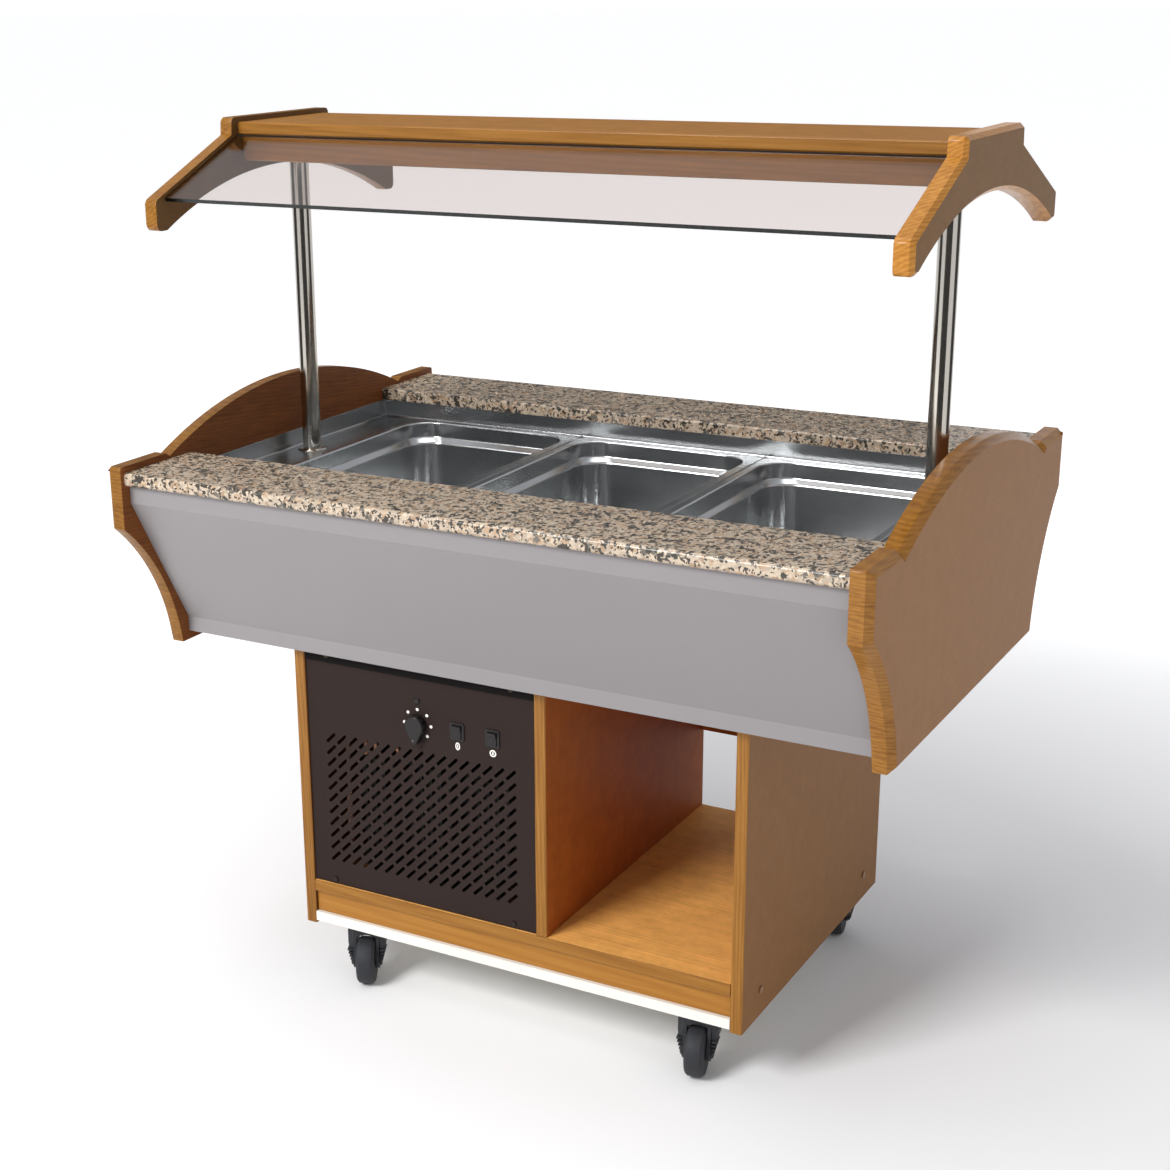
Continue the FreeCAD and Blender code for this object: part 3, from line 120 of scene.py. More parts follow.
# Print stands off its face by its rise. Dots reach as far in, and marks by their depth, in metres.
PRINT_RISE = 0.0002
MARK_DEPTH = 0.0001
# Half width and half height of each switch's oval mark, and its opening's and bar's share of them.
SWITCH_MARKS = {"rocker_power": (0.0040, 0.0062), "rocker_lamp": (0.0056, 0.0056)}
MARK_OPENING = 0.62
MARK_BAR = (0.22, 0.40)
MARK_POINTS = 28

# Skirt of a caster's fork from the hood down to the axle, in metres: height, inner and outer
# distance from the fork's middle, and its ends against and along the trail.
SKIRT_LEVELS = (
    (0.0890, 0.0210, 0.0298, -0.0200, 0.0290),
    (0.0660, 0.0206, 0.0298, -0.0200, 0.0296),
    (0.0560, 0.0205, 0.0285, -0.0110, 0.0300),
    (0.0440, 0.0203, 0.0248, 0.0060, 0.0330),
    (0.0300, 0.0202, 0.0228, 0.0190, 0.0370),
)

# Cut and rounding of a skirt's edges, in metres.
SKIRT_CUT = 0.003
SKIRT_ROUND = 0.0009
# Ribs of a skirt in metres: height of the lowest and step to the next, half a rib's height, its middle
# and half its way along the trail, its root, and its reach at the axle and how that grows with height.
RIBS = 5
RIB_FOOT, RIB_STEP, RIB_HALF = 0.0345, 0.0055, 0.0013
RIB_MIDDLE, RIB_SPAN = 0.023, 0.011
RIB_ROOT, RIB_REACH, RIB_FLARE = 0.0215, 0.0238, 0.26

# Dark cards that stand round the cart for its polished metal: azimuth in degrees and width.
CARD_DISTANCE = 2.6
CARD_MIDDLE = 0.66
CARD_TALL = 1.3
CARDS = {"front": (-62.8, 2.9), "right": (27.5, 1.9), "left": (-153.0, 1.9)}
FLOOR_HALF = 90.0
FLOOR_SINK = 0.0005


# ---- settings ----
def colour(name, description, default):
    """Colour property of a finish."""
    return FloatVectorProperty(name=name, description=description, default=default, subtype="COLOR",
                               size=3, min=0.0, max=1.0)


def length(name, description, default):
    """Length property in metres."""
    return FloatProperty(name=name, description=description, default=default, min=0.0,
                         subtype="DISTANCE", unit="LENGTH")


def share(name, description, default):
    """Property between nothing and the whole."""
    return FloatProperty(name=name, description=description, default=default, min=0.0, max=1.0,
                         subtype="FACTOR")


class SaladWood(bpy.types.PropertyGroup):
    """Lacquered boards."""
    light: colour("Light wood", "Lightest streaks of the lacquered wood", (0.520, 0.240, 0.047))
    middle: colour("Honey wood", "Main colour of the lacquered wood", (0.385, 0.165, 0.026))
    dark: colour("Dark wood", "Darkest streaks of the lacquered wood", (0.250, 0.092, 0.012))
    # face: painted sheen and painted shade, duller and darker than the honey, for the boards' outer faces.
    face: colour("Outer face", "Duller colour of the boards' outer faces", (0.268, 0.126, 0.043))
    gable: colour("Gable face", "Duller colour of the gables' outer faces", (0.175, 0.085, 0.024))
    inner: colour("Inner face", "Shaded colour of the end panels' inner faces", (0.185, 0.062, 0.018))
    # bay: painted shade, reddened by painted bounce light off the wood, for the open bay's upright faces.
    bay: colour("Bay face", "Redder colour of the open bay's upright faces", (0.340, 0.092, 0.0150))
    # shelf: painted light, brighter than the honey, for the shelf's upper face.
    shelf: colour("Shelf face", "Colour of the shelf's upper face", (0.840, 0.400, 0.105))
    lines: FloatProperty(name="Growth lines", description="How closely the growth lines follow each other",
                         default=1100.0, min=100.0)
    edge_radius: length("Edge radius", "Softening of the boards' arrises", 0.0016)
    gloss: share("Gloss roughness", "Roughness of the lacquer", 0.32)


class SaladStone(bpy.types.PropertyGroup):
    """Speckled stone of the counter."""
    cream: colour("Cream grains", "Lightest grains", (0.520, 0.420, 0.315))
    tan: colour("Tan grains", "Warm grains", (0.360, 0.245, 0.155))
    grey: colour("Grey grains", "Cool grains", (0.132, 0.116, 0.092))
    black: colour("Black grains", "Dark mica grains", (0.026, 0.021, 0.015))
    grain: length("Grain size", "Width of the larger grains", 0.0070)


class SaladMetal(bpy.types.PropertyGroup):
    """Painted and plain metals."""
    fascia: colour("Fascia grey", "Paint of the folded fascias", (0.235, 0.220, 0.222))
    panel: colour("Panel brown", "Powder coat of the machine bay's sheets", (0.0255, 0.0160, 0.0138))
    steel: colour("Stainless steel", "Well, pans and bars", (0.570, 0.583, 0.588))
    # chrome: darker and warmer than bare chrome, a painted reflection of the dark, warm surroundings.
    chrome: colour("Chrome", "Posts and their cover rings", (0.480, 0.452, 0.405))
    steel_roughness: share("Steel roughness", "Roughness of the satin steel", 0.22)


class SaladPlastic(bpy.types.PropertyGroup):
    """Dark plastics and the white board."""
    black: colour("Black plastic", "Knob, switches and casters", (0.0105, 0.0085, 0.0080))
    caster: colour("Caster plastic", "Forks and wheels", (0.026, 0.027, 0.031))
    white: colour("White board", "Faced edge of the base board and the printed marks", (0.800, 0.770, 0.700))
    tint: colour("Glass tint", "Tint of the front glass", (0.850, 0.780, 0.745))


class SaladDetail(bpy.types.PropertyGroup):
    """Sizes of the small pieces that the scene adds or refines."""
    ring_steps: IntProperty(name="Ring steps", description="Points round a turned piece", default=64, min=12)
    pan_sheet: length("Pan sheet", "Thickness of a pan's sheet", 0.0010)
    pan_rim: length("Pan rim", "Width of a pan's flat rim", 0.0130)
    pan_rim_corner: length("Pan rim corner", "Corner radius of a pan's rim outside", 0.0160)
    pan_corner: length("Pan corner", "Corner radius of a pan's walls", 0.0480)
    pan_collar: length("Pan collar", "Height of the straight wall above a pan's shoulder", 0.0260)
    pan_shoulder: length("Pan shoulder", "Width and fall of a pan's sloping shoulder", 0.0080)
    pan_taper: length("Pan taper", "How far a pan's walls lean in below the shoulder", 0.0050)
    pan_heel: length("Pan heel", "Radius between a pan's walls and its floor", 0.0160)
    pan_lip: length("Pan lip", "Height of a pan's turned edge", 0.0030)
    liner_sheet: length("Liner sheet", "Thickness of the well liner", 0.0015)
    upstand: length("Upstand", "Height of the liner's edge above its ledge", 0.0290)
    end_ledge: length("End ledge", "From the liner's end to the well's wall", 0.0810)
    side_ledge: length("Side ledge", "From the liner's long side to the well's wall", 0.0180)
    well_corner: length("Well corner", "Corner radius of the well", 0.0220)
    drain_bore: length("Drain hole", "Radius of the hole in the well floor", 0.0143)
    glass_sheet: length("Glass sheet", "Thickness of the front glass", 0.0060)
    ring_thick: length("Ring thickness", "Thickness of a post's cover ring", 0.0040)
    ring_play: length("Ring play", "Gap between a post and its cover ring", 0.0002)
    mark_drop: length("Mark drop", "From a switch's lower edge to the middle of its mark", 0.0125)
    dial_radius: length("Dial radius", "Distance of the dial's dots from its middle", 0.0235)
    dot_radius: length("Dot radius", "Radius of a dial dot", 0.0025)


# ---- shader maths ----
class Signal:
    """A shader socket. Arithmetic on it adds Math nodes."""

    def __init__(self, finish, socket):
        self.finish = finish
        self.socket = socket

    def _maths(self, operation, first, second=0.0):
        return self.finish.add("ShaderNodeMath", {"operation": operation}, {0: first, 1: second})

    def __add__(self, other):
        return self._maths("ADD", self, other)

    def __radd__(self, other):
        return self._maths("ADD", other, self)

    def __sub__(self, other):
        return self._maths("SUBTRACT", self, other)

    def __rsub__(self, other):
        return self._maths("SUBTRACT", other, self)

    def __mul__(self, other):
        return self._maths("MULTIPLY", self, other)

    def __rmul__(self, other):
        return self._maths("MULTIPLY", other, self)

    def __gt__(self, other):
        return self._maths("GREATER_THAN", self, other)

    def __lt__(self, other):
        return self._maths("LESS_THAN", self, other)

    def __abs__(self):
        return self._maths("ABSOLUTE", self)

    def sine(self):
        return self._maths("SINE", self)


class Finish:
    """A procedural material: one Principled shader and what feeds it."""

    def __init__(self, name, constants):
        self.material = bpy.data.materials.new(name)
        self.material.use_nodes = True
        self.tree = self.material.node_tree
        self.shader = self.tree.nodes["Principled BSDF"]
        self._place = None
        for socket, value in constants.items():
            self.shader.inputs[socket].default_value = value

    def add(self, kind, settings, inputs, out=0):
        """New node: its settings first, then the values or links of its inputs."""
        node = self.tree.nodes.new(kind)
        for key, value in settings.items():
            if key == "stops":
                self.set_stops(node.color_ramp, value)
            elif key == "interpolation":
                node.color_ramp.interpolation = value
            else:
                setattr(node, key, value)
        for key, value in inputs.items():
            self._feed(node.inputs[key], value)
        return Signal(self, node.outputs[out])

    def feed(self, socket, value):
        """Links or sets one of the shader's sockets."""
        self._feed(self.shader.inputs[socket], value)

    def _feed(self, socket, value):
        if isinstance(value, Signal):
            self.tree.links.new(value.socket, socket)
        elif socket.type == "RGBA":
            socket.default_value = (*value, 1.0)
        else:
            socket.default_value = value

    @staticmethod
    def set_stops(ramp, stops):
        while len(ramp.elements) < len(stops):
            ramp.elements.new(1.0)
        for element, (position, tone) in zip(ramp.elements, stops):
            element.position = position
            element.color = (*tone, 1.0)

    def place(self):
        """Point of the surface in the row frame at rest, in metres."""
        if self._place is None:
            self._place = self.add("ShaderNodeTexCoord", {}, {}, "Object")
        return self._place

    def facing(self, axis):
        """How much the surface looks along an axis."""
        return self.part(self.add("ShaderNodeTexCoord", {}, {}, "Normal"), axis)

    def along(self, axis):
        """Distance of the surface's point along an axis."""
        return self.part(self.place(), axis)

    def part(self, vector, axis):
        """Part of a vector along an axis."""
        return self.add("ShaderNodeVectorMath", {"operation": "DOT_PRODUCT"}, {0: vector, 1: axis}, "Value")

    def stretched(self, scales):
        """Place scaled by its own factor on each axis."""
        return self.add("ShaderNodeVectorMath", {"operation": "MULTIPLY"}, {0: self.place(), 1: scales})

    def noise(self, scales, detail, roughness):
        """Cloudy noise with as many waves a metre as scales says on each axis."""
        return self.add("ShaderNodeTexNoise", {}, {
            "Vector": self.stretched(scales), "Scale": 1.0, "Detail": detail, "Roughness": roughness})

    def blend(self, factor, first, second):
        """Colour between two colours."""
        return self.add("ShaderNodeMix", {"data_type": "RGBA"}, {0: factor, 6: first, 7: second}, 2)

    def ramp(self, factor, stops, interpolation="LINEAR"):
        """Colour picked from stops by a factor."""
        return self.add("ShaderNodeValToRGB", {"stops": stops, "interpolation": interpolation},
                        {"Fac": factor})

    def paint(self, tone, roughness, relief=None, depth=0.0, strength=0.0):
        """Feeds what varies over the surface into the shader. Relief is as deep as depth, in metres."""
        self.feed("Base Color", tone)
        self.feed("Roughness", roughness)
        if relief is not None:
            self.feed("Normal", self.add("ShaderNodeBump", {}, {
                "Height": relief, "Distance": depth, "Strength": strength}))
        return self.material


# ---- finishes ----
def shaded(tone, factor):
    """A colour made lighter or darker."""
    return tuple(min(1.0, c * factor) for c in tone)


def between(first, second, part):
    """A colour on the way from one to another."""
    return tuple(a + (b - a) * part for a, b in zip(first, second))


def wood_finish(name, grain, wood, tone, faces=(), calm=0.0):
    """Lacquered wood, as light as tone says and with a fainter figure the calmer it is. Faces are
    (axis, colour, streaks) of the board's laminated broad faces, which have a duller lacquer."""
    finish = Finish(name, {"Specular IOR Level": 0.11, "Coat Roughness": 0.18})
    fibres, layers = grain
    fine = finish.noise(fibres, 6.0, 0.62)
    broad = finish.noise([wave / BROAD_STREAK for wave in fibres], 3.0, 0.5)
    growth = (finish.along(layers) * wood.lines + broad * GROWTH_STRAY).sine() * 0.5 + 0.5
    pores = finish.noise([wave * PORE_FINENESS for wave in fibres], 2.0, 0.5) < 0.34
    figure = fine * 0.56 + broad * 0.28 + growth * 0.14
    honey = finish.ramp(figure, [(0.30, shaded(between(wood.dark, wood.middle, calm), tone)),
                                 (0.50, shaded(wood.middle, tone)),
                                 (0.72, shaded(between(wood.light, wood.middle, calm), tone))])
    honey = finish.blend(pores * (0.25 * (1.0 - calm)), honey, shaded(wood.dark, tone))
    rough = fine * 0.16 + (wood.gloss - 0.08)
    arris = 1.0
    mottle = finish.noise([34.0] * 3, 5.0, 0.7) if faces else None
    for axis, colour, streaks in faces:
        contrast = 0.06 + 0.34 * streaks
        laminate = finish.ramp(mottle * (1.0 - streaks) + figure * streaks, [
            (0.34, shaded(colour, 1.0 - contrast)), (0.66, shaded(colour, 1.0 + contrast))])
        mask = finish.facing(axis) > BROAD_FACE
        honey = finish.blend(mask, honey, laminate)
        rough = rough + mask * 0.16
        arris = arris - mask
    finish.feed("Coat Weight", arris * 0.22)
    return finish.paint(honey, rough, fine + pores * -0.5, depth=0.0002, strength=0.35)


def stone_finish(name, stone):
    """Polished stone with cream, tan, grey and black grains."""
    finish = Finish(name, {"Specular IOR Level": 0.4, "Coat Weight": 0.10, "Coat Roughness": 0.25})
    wave = 1.0 / stone.grain
    warp = finish.add("ShaderNodeTexNoise", {}, {"Vector": finish.place(), "Scale": wave * 0.9,
                                                 "Detail": 3.0, "Roughness": 0.6}, "Color")
    bent = finish.add("ShaderNodeVectorMath", {"operation": "MULTIPLY_ADD"},
                      {0: warp, 1: (stone.grain * 1.5,) * 3, 2: finish.place()})
    cells, small = (finish.add("ShaderNodeTexVoronoi", {"feature": "F1"}, {"Vector": bent, "Scale": scale},
                               "Color") for scale in (wave, wave * 2.1))
    pick = finish.add("ShaderNodeSeparateColor", {}, {0: cells}, 0)
    pick_small = finish.add("ShaderNodeSeparateColor", {}, {0: small}, 1)
    grains = finish.ramp(pick, [
        (0.00, stone.cream), (0.26, stone.tan), (0.40, shaded(stone.cream, 0.82)),
        (0.62, stone.grey), (0.74, shaded(stone.tan, 1.25)), (0.84, stone.black),
    ], "CONSTANT")
    flecks = finish.ramp(pick_small, [
        (0.00, stone.black), (0.40, stone.grey), (0.60, shaded(stone.cream, 1.15)),
    ], "CONSTANT")
    fleck_mask = (pick_small < 0.17) + (pick_small > 0.86)
    tone = finish.blend(fleck_mask, grains, flecks)
    cloud = finish.noise([700.0] * 3, 3.0, 0.6)
    tone = finish.blend(cloud * 0.28, tone, shaded(stone.grey, 0.9))
    return finish.paint(tone, pick * 0.14 + 0.20, cloud + pick * 0.4, depth=0.00012, strength=0.35)


def brushed_finish(name, tone, roughness):
    """Satin steel, brushed along the cart."""
    finish = Finish(name, {"Metallic": 1.0})
    brush = finish.noise([9.0, 900.0, 900.0], 5.0, 0.6)
    smear = finish.noise([7.0, 9.0, 11.0], 3.0, 0.6)
    mixed = finish.blend(smear, shaded(tone, 0.86), shaded(tone, 1.08))
    rough = brush * 0.16 + smear * 0.10 + (roughness - 0.12)
    return finish.paint(mixed, rough, brush, depth=0.00004, strength=0.25)


def satin_finish(name, tone, roughness):
    """Smooth pressed steel with faint clouds where the sheet was stretched or wiped."""
    finish = Finish(name, {"Metallic": 1.0})
    cloud = finish.noise([5.0, 6.0, 9.0], 3.0, 0.5)
    mixed = finish.blend(cloud, shaded(tone, 0.86), shaded(tone, 1.08))
    return finish.paint(mixed, cloud * 0.12 + (roughness - 0.06))


def plain_finish(name, tone, roughness, metallic=0.0, wave=900.0, depth=0.0001, spread=0.10, shine=0.3):
    """Even finish of paint, a casting or a moulding: a fine skin with as many waves a metre as wave
    says, and a tone that varies by spread."""
    finish = Finish(name, {"Metallic": metallic, "Specular IOR Level": shine})
    skin = finish.noise([wave] * 3, 3.0, 0.6)
    cloud = finish.noise([6.0] * 3, 4.0, 0.6)
    mixed = finish.blend(cloud, shaded(tone, 1.0 - spread), shaded(tone, 1.0 + spread))
    return finish.paint(mixed, skin * 0.10 + cloud * 0.08 + (roughness - 0.09), skin, depth, strength=0.3)


def glass_finish(name, tint, edge_axis):
    """Clear glass, dark green where it is seen through its ground edge."""
    finish = Finish(name, {"Transmission Weight": 1.0, "IOR": 1.45})
    edge = abs(finish.facing(edge_axis)) > 0.7
    smear = finish.noise([5.0] * 3, 3.0, 0.6)
    tone = finish.blend(edge, tint, (0.020, 0.050, 0.035))
    return finish.paint(tone, smear * 0.02 + edge * 0.25 + 0.005)


# ---- mesh helpers ----
def new_piece(name, shape, material, body, replaced, sharp=35.0):
    """Piece from a bmesh that rides on a body and stands for CAD nodes, smooth but for edges that
    turn by more than sharp degrees."""
    bmesh.ops.recalc_face_normals(shape, faces=shape.faces)
    mesh = bpy.data.meshes.new(name)
    shape.to_mesh(mesh)
    shape.free()
    mesh.shade_smooth()
    mesh.set_sharp_from_angle(angle=math.radians(sharp))
    mesh.materials.append(material)
    piece = bpy.data.objects.new(name, mesh)
    bpy.context.scene.collection.objects.link(piece)
    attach(piece, body)
    if replaced:
        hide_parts(*replaced)
    return piece


def thicken(piece, sheet):
    """Gives a skin its sheet's thickness on the far side and evens its shading."""
    skin = piece.modifiers.new("sheet", "SOLIDIFY")
    skin.thickness = sheet
    skin.offset = -1.0
    even = piece.modifiers.new("even", "WEIGHTED_NORMAL")
    even.keep_sharp = True


def dress(node, material, soften=0.0, segments=2):
    """Gives a CAD node its material and, where asked, softened arrises."""
    piece = NODES[node]
    piece.data.materials.clear()
    piece.data.materials.append(material)
    if soften:
        weld = piece.modifiers.new("weld", "WELD")
        weld.merge_threshold = 0.00001
        bevel = piece.modifiers.new("soften", "BEVEL")
        bevel.width = soften
        bevel.segments = segments
        bevel.limit_method = "ANGLE"
        bevel.angle_limit = math.radians(28.0)
        bevel.harden_normals = True


def corners(node):
    """Lowest and highest corner of a CAD node."""
    low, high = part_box(node)
    return Vector(low), Vector(high)


def lofted(shape, rings, cap_start=True, cap_end=True):
    """Skins rings of equal length, closing both ends where asked."""
    loops = [[shape.verts.new(point) for point in ring] for ring in rings]
    for first, second in zip(loops, loops[1:]):
        for k in range(len(first)):
            n = (k + 1) % len(first)
            shape.faces.new((first[k], first[n], second[n], second[k]))
    if cap_start:
        shape.faces.new(loops[0][::-1])
    if cap_end:
        shape.faces.new(loops[-1])


def turned(shape, profile, at, axis, steps):
    """Turns a profile of (radius, height) about an axis from a point."""
    turn = Vector(ABOVE).rotation_difference(Vector(axis)).to_matrix()
    rings = []
    for radius, height in profile:
        ring = []
        for k in range(steps):
            angle = 2.0 * math.pi * k / steps
            point = Vector((radius * math.cos(angle), radius * math.sin(angle), height))
            ring.append(Vector(at) + turn @ point)
        rings.append(ring)
    lofted(shape, rings)


def rounded_line(points, radii, steps):
    """Open line of (across, height) points with an arc of each radius at its inner corners."""
    line = [points[0]]
    for k, radius in enumerate(radii):
        before, corner, after = (Vector(p) for p in points[k:k + 3])
        back = (before - corner).normalized()
        ahead = (after - corner).normalized()
        half = back.angle(ahead) / 2.0
        centre = corner + (back + ahead).normalized() * (radius / math.sin(half))
        first = corner + back * (radius / math.tan(half)) - centre
        last = corner + ahead * (radius / math.tan(half)) - centre
        for i in range(steps):
            spoke = first.lerp(last, i / (steps - 1)).normalized() * radius
            line.append(tuple(centre + spoke))
    line.append(points[-1])
    return line


def rounded_ring(centre, half_x, half_y, radius, z, steps=9):
    """Level rounded rectangle as points."""
    points = []
    for k, (sx, sy) in enumerate(((1, 1), (-1, 1), (-1, -1), (1, -1))):
        for i in range(steps):
            angle = math.pi / 2.0 * (k + i / (steps - 1))
            x = centre.x + sx * (half_x - radius) + radius * math.cos(angle)
            y = centre.y + sy * (half_y - radius) + radius * math.sin(angle)
            points.append(Vector((x, y, z)))
    return points


# ---- pieces ----
class SALAD_OT_boards(bpy.types.Operator):
    """Dresses the end panels, gables, canopy boards and base boards in lacquered wood"""
    bl_idname = "salad.boards"
    bl_label = "Wooden boards"

    def execute(self, context):
        wood = context.scene.salad_wood
        # Painted shade and bounce light: the bay colour on the partition's faces and the rear panel's front
        # face.
        bay = ((LEFT, wood.bay, 0.3), (RIGHT, wood.bay, 0.3))
        # Painted shade: the canopy's top face is a darker copy of the honey.
        canopy_top_shade = (ABOVE, shaded(wood.middle, 0.72), 0.5)
        # Each board's tone makes the one wood lighter or darker: painted light and shade.
        plinth = wood_finish("plinth_wood", LENGTHWISE_GRAIN, wood, 0.92, calm=0.45)
        canopy = wood_finish("canopy_wood", LENGTHWISE_GRAIN, wood, 0.64, (canopy_top_shade,), calm=0.25)
        # The shelf's upper face takes the shelf colour: painted light.
        shelf = wood_finish("shelf_wood", LENGTHWISE_GRAIN, wood, 0.74, ((ABOVE, wood.shelf, 0.6),), calm=0.3)
        partition = wood_finish("partition_wood", UPRIGHT_GRAIN, wood, 0.68, bay)
        back = wood_finish("rear_panel_wood", UPRIGHT_GRAIN, wood, 0.75, ((FRONT, wood.bay, 0.3),))
        slim = wood.edge_radius * 0.5
        soft = wood.edge_radius * 0.8
        self.sides(wood, slim)
        dress("base_partition", partition, slim)
        dress("rear_panel", back, slim)
        dress("base_floor", shelf, soft)
        dress("canopy_top", canopy, slim)
        dress("canopy_beams", canopy, slim)
        dress("plinths", plinth, soft)
        dress("cabinet_battens", plinth)
        plastic = context.scene.salad_plastic
        dress("base_board", plain_finish("white_board", plastic.white, 0.45))
        return {"FINISHED"}

    def sides(self, wood, slim):
        """Boards of both ends, each with the tones of its side of the photograph."""
        round_edge = wood.edge_radius * 1.6
        # The tones paint light and shade, the left boards darker than the right.
        for tag, outside, inside, inside_shade, tones in (
                ("left", LEFT, RIGHT, shaded(wood.inner, 0.6), (0.52, 0.60, 0.66)),
                ("right", RIGHT, LEFT, wood.bay, (0.68, 1.02, 0.72))):
            panel = wood_finish("panel_wood_" + tag, END_PANEL_GRAIN, wood, tones[0], (
                (outside, wood.face, 0.0), (inside, wood.inner, 0.8)))
            # Painted shade: the gable's inner face is a darker copy of its outer colour.
            gable = wood_finish("gable_wood_" + tag, GABLE_GRAIN, wood, tones[1], (
                (outside, wood.gable, 0.0), (inside, shaded(wood.gable, 0.70), 0.3)))
            # Painted shade on the side boards' inner faces, darkest on the left, in the machine bay.
            side = wood_finish("side_wood_" + tag, UPRIGHT_GRAIN, wood, tones[2], (
                (outside, shaded(wood.face, 0.92), 0.0), (inside, inside_shade, 0.3)))
            dress("end_panel_" + tag, panel, round_edge, 3)
            dress("gable_" + tag, gable, round_edge, 3)
            dress("base_side_" + tag, side, slim)


class SALAD_OT_stone(bpy.types.Operator):
    """Dresses both stone strips of the counter"""
    bl_idname = "salad.stone"
    bl_label = "Stone strips"

    def execute(self, context):
        granite = stone_finish("speckled_stone", context.scene.salad_stone)
        for name in ("stone_slab_front", "stone_slab_rear"):
            dress(name, granite)
        return {"FINISHED"}


class SALAD_OT_sheets(bpy.types.Operator):
    """Dresses the fascias, the bars and the machine bay's sheets, and builds the well liner"""
    bl_idname = "salad.sheets"
    bl_label = "Sheet metal"

    def execute(self, context):
        metal = context.scene.salad_metal
        grey = plain_finish("fascia_grey", metal.fascia, 0.42, wave=700.0, depth=0.00004, spread=0.03)
        brown = plain_finish("panel_brown", metal.panel, 0.62, wave=1500.0, depth=0.00012, spread=0.08,
                             shine=0.10)
        brushed = brushed_finish("brushed_steel", metal.steel, metal.steel_roughness)
        # The well's steel is a darker copy of the steel: painted shade and painted reflection of the dark
        # wood around it.
        steel = satin_finish("well_steel_darkened", shaded(metal.steel, 0.72), metal.steel_roughness + 0.03)
        for name in ("fascia_front", "fascia_rear", "well_casing"):
            dress(name, grey)
        for name in ("control_panel", "rear_grille"):
            dress(name, brown)
        for name in ("divider_bar_left", "divider_bar_right", "lamp_housing"):
            dress(name, brushed)
        self.liner(steel, context.scene.salad_detail)
        return {"FINISHED"}

    def liner(self, steel, detail):
        """Well liner bent from sheet: upstand, ledge, walls and a floor down to the drain."""
        low, high = corners("well_liner")
        drain_low, drain_high = corners("drain_valve")
        centre = (low + high) / 2.0
        outer = (high - low) / 2.0
        sheet = detail.liner_sheet
        ledge = high.z - detail.upstand
        floor = low.z + sheet
        well = outer - Vector((detail.end_ledge, detail.side_ledge, 0.0))
        upstand = [(0.0, high.z - LINER_LIP), (0.0, high.z), (sheet, high.z), (sheet, ledge),
                   (sheet + LEDGE_RUN, ledge)]
        wall = [(-LEDGE_RUN, ledge), (0.0, ledge), (0.0, floor), (FLOOR_RING, floor)]
        rings = []
        for inset, height in rounded_line(upstand, LEDGE_BENDS, BEND_STEPS):
            rings.append(rounded_ring(centre, outer.x - inset, outer.y - inset, LINER_CORNER, height))
        for inset, height in rounded_line(wall, WELL_BENDS, BEND_STEPS):
            radius = max(LEAST_CORNER, detail.well_corner - inset)
            rings.append(rounded_ring(centre, well.x - inset, well.y - inset, radius, height))
        flange = (drain_high.y - drain_low.y) / 2.0
        drain = Vector((drain_low.x + flange, (drain_low.y + drain_high.y) / 2.0, 0.0))
        bore = detail.drain_bore
        rings.append(rounded_ring(drain, bore, bore, bore, floor))
        shape = bmesh.new()
        lofted(shape, rings, cap_start=False, cap_end=False)
        thicken(new_piece("steel_well", shape, steel, "cart", ("well_liner",), 50.0), sheet)


class SALAD_OT_pans(bpy.types.Operator):
    """Builds the three deep-drawn pans with rounded corners, a collar and a rolled rim"""
    bl_idname = "salad.pans"
    bl_label = "Pans"

    def execute(self, context):
        detail = context.scene.salad_detail
        metal = context.scene.salad_metal
        steel = satin_finish("pan_steel", metal.steel, metal.steel_roughness)
        for tag in PAN_TAGS:
            self.build("pan_" + tag, steel, detail)
        return {"FINISHED"}

    def section(self, low, high, detail):
        """Inner face of a pan from its lip to its floor, as (inset, height, corner radius)."""
        sheet = detail.pan_sheet
        top = high.z
        edge = detail.pan_rim + sheet
        shoulder = top - detail.pan_collar
        wall = edge + detail.pan_shoulder
        heel = wall + detail.pan_taper
        floor = low.z + sheet
        corner = detail.pan_corner - sheet
        line = [(0.0, top - detail.pan_lip), (0.0, top), (edge, top), (edge, shoulder),
                (wall, shoulder - detail.pan_shoulder), (heel, floor), (heel + 2.0 * detail.pan_heel, floor)]
        rows = []
        for inset, height in rounded_line(line, (*PAN_BENDS, detail.pan_heel), BEND_STEPS):
            if inset < detail.pan_rim / 2.0:
                radius = detail.pan_rim_corner
            elif inset <= heel:
                radius = corner + max(0.0, edge - inset)
            else:
                radius = corner - (inset - heel)
            rows.append((inset, height, max(LEAST_CORNER, radius)))
        return rows

    def build(self, node, steel, detail):
        low, high = corners(node)
        centre = (low + high) / 2.0
        half = (high - low) / 2.0
        rings = [rounded_ring(centre, half.x - inset, half.y - inset, radius, height, PAN_CORNER_STEPS)
                 for inset, height, radius in self.section(low, high, detail)]
        shape = bmesh.new()
        lofted(shape, rings, cap_start=False)
        piece = new_piece("steel_" + node, shape, steel, node, (node,), 70.0)
        thicken(piece, detail.pan_sheet)


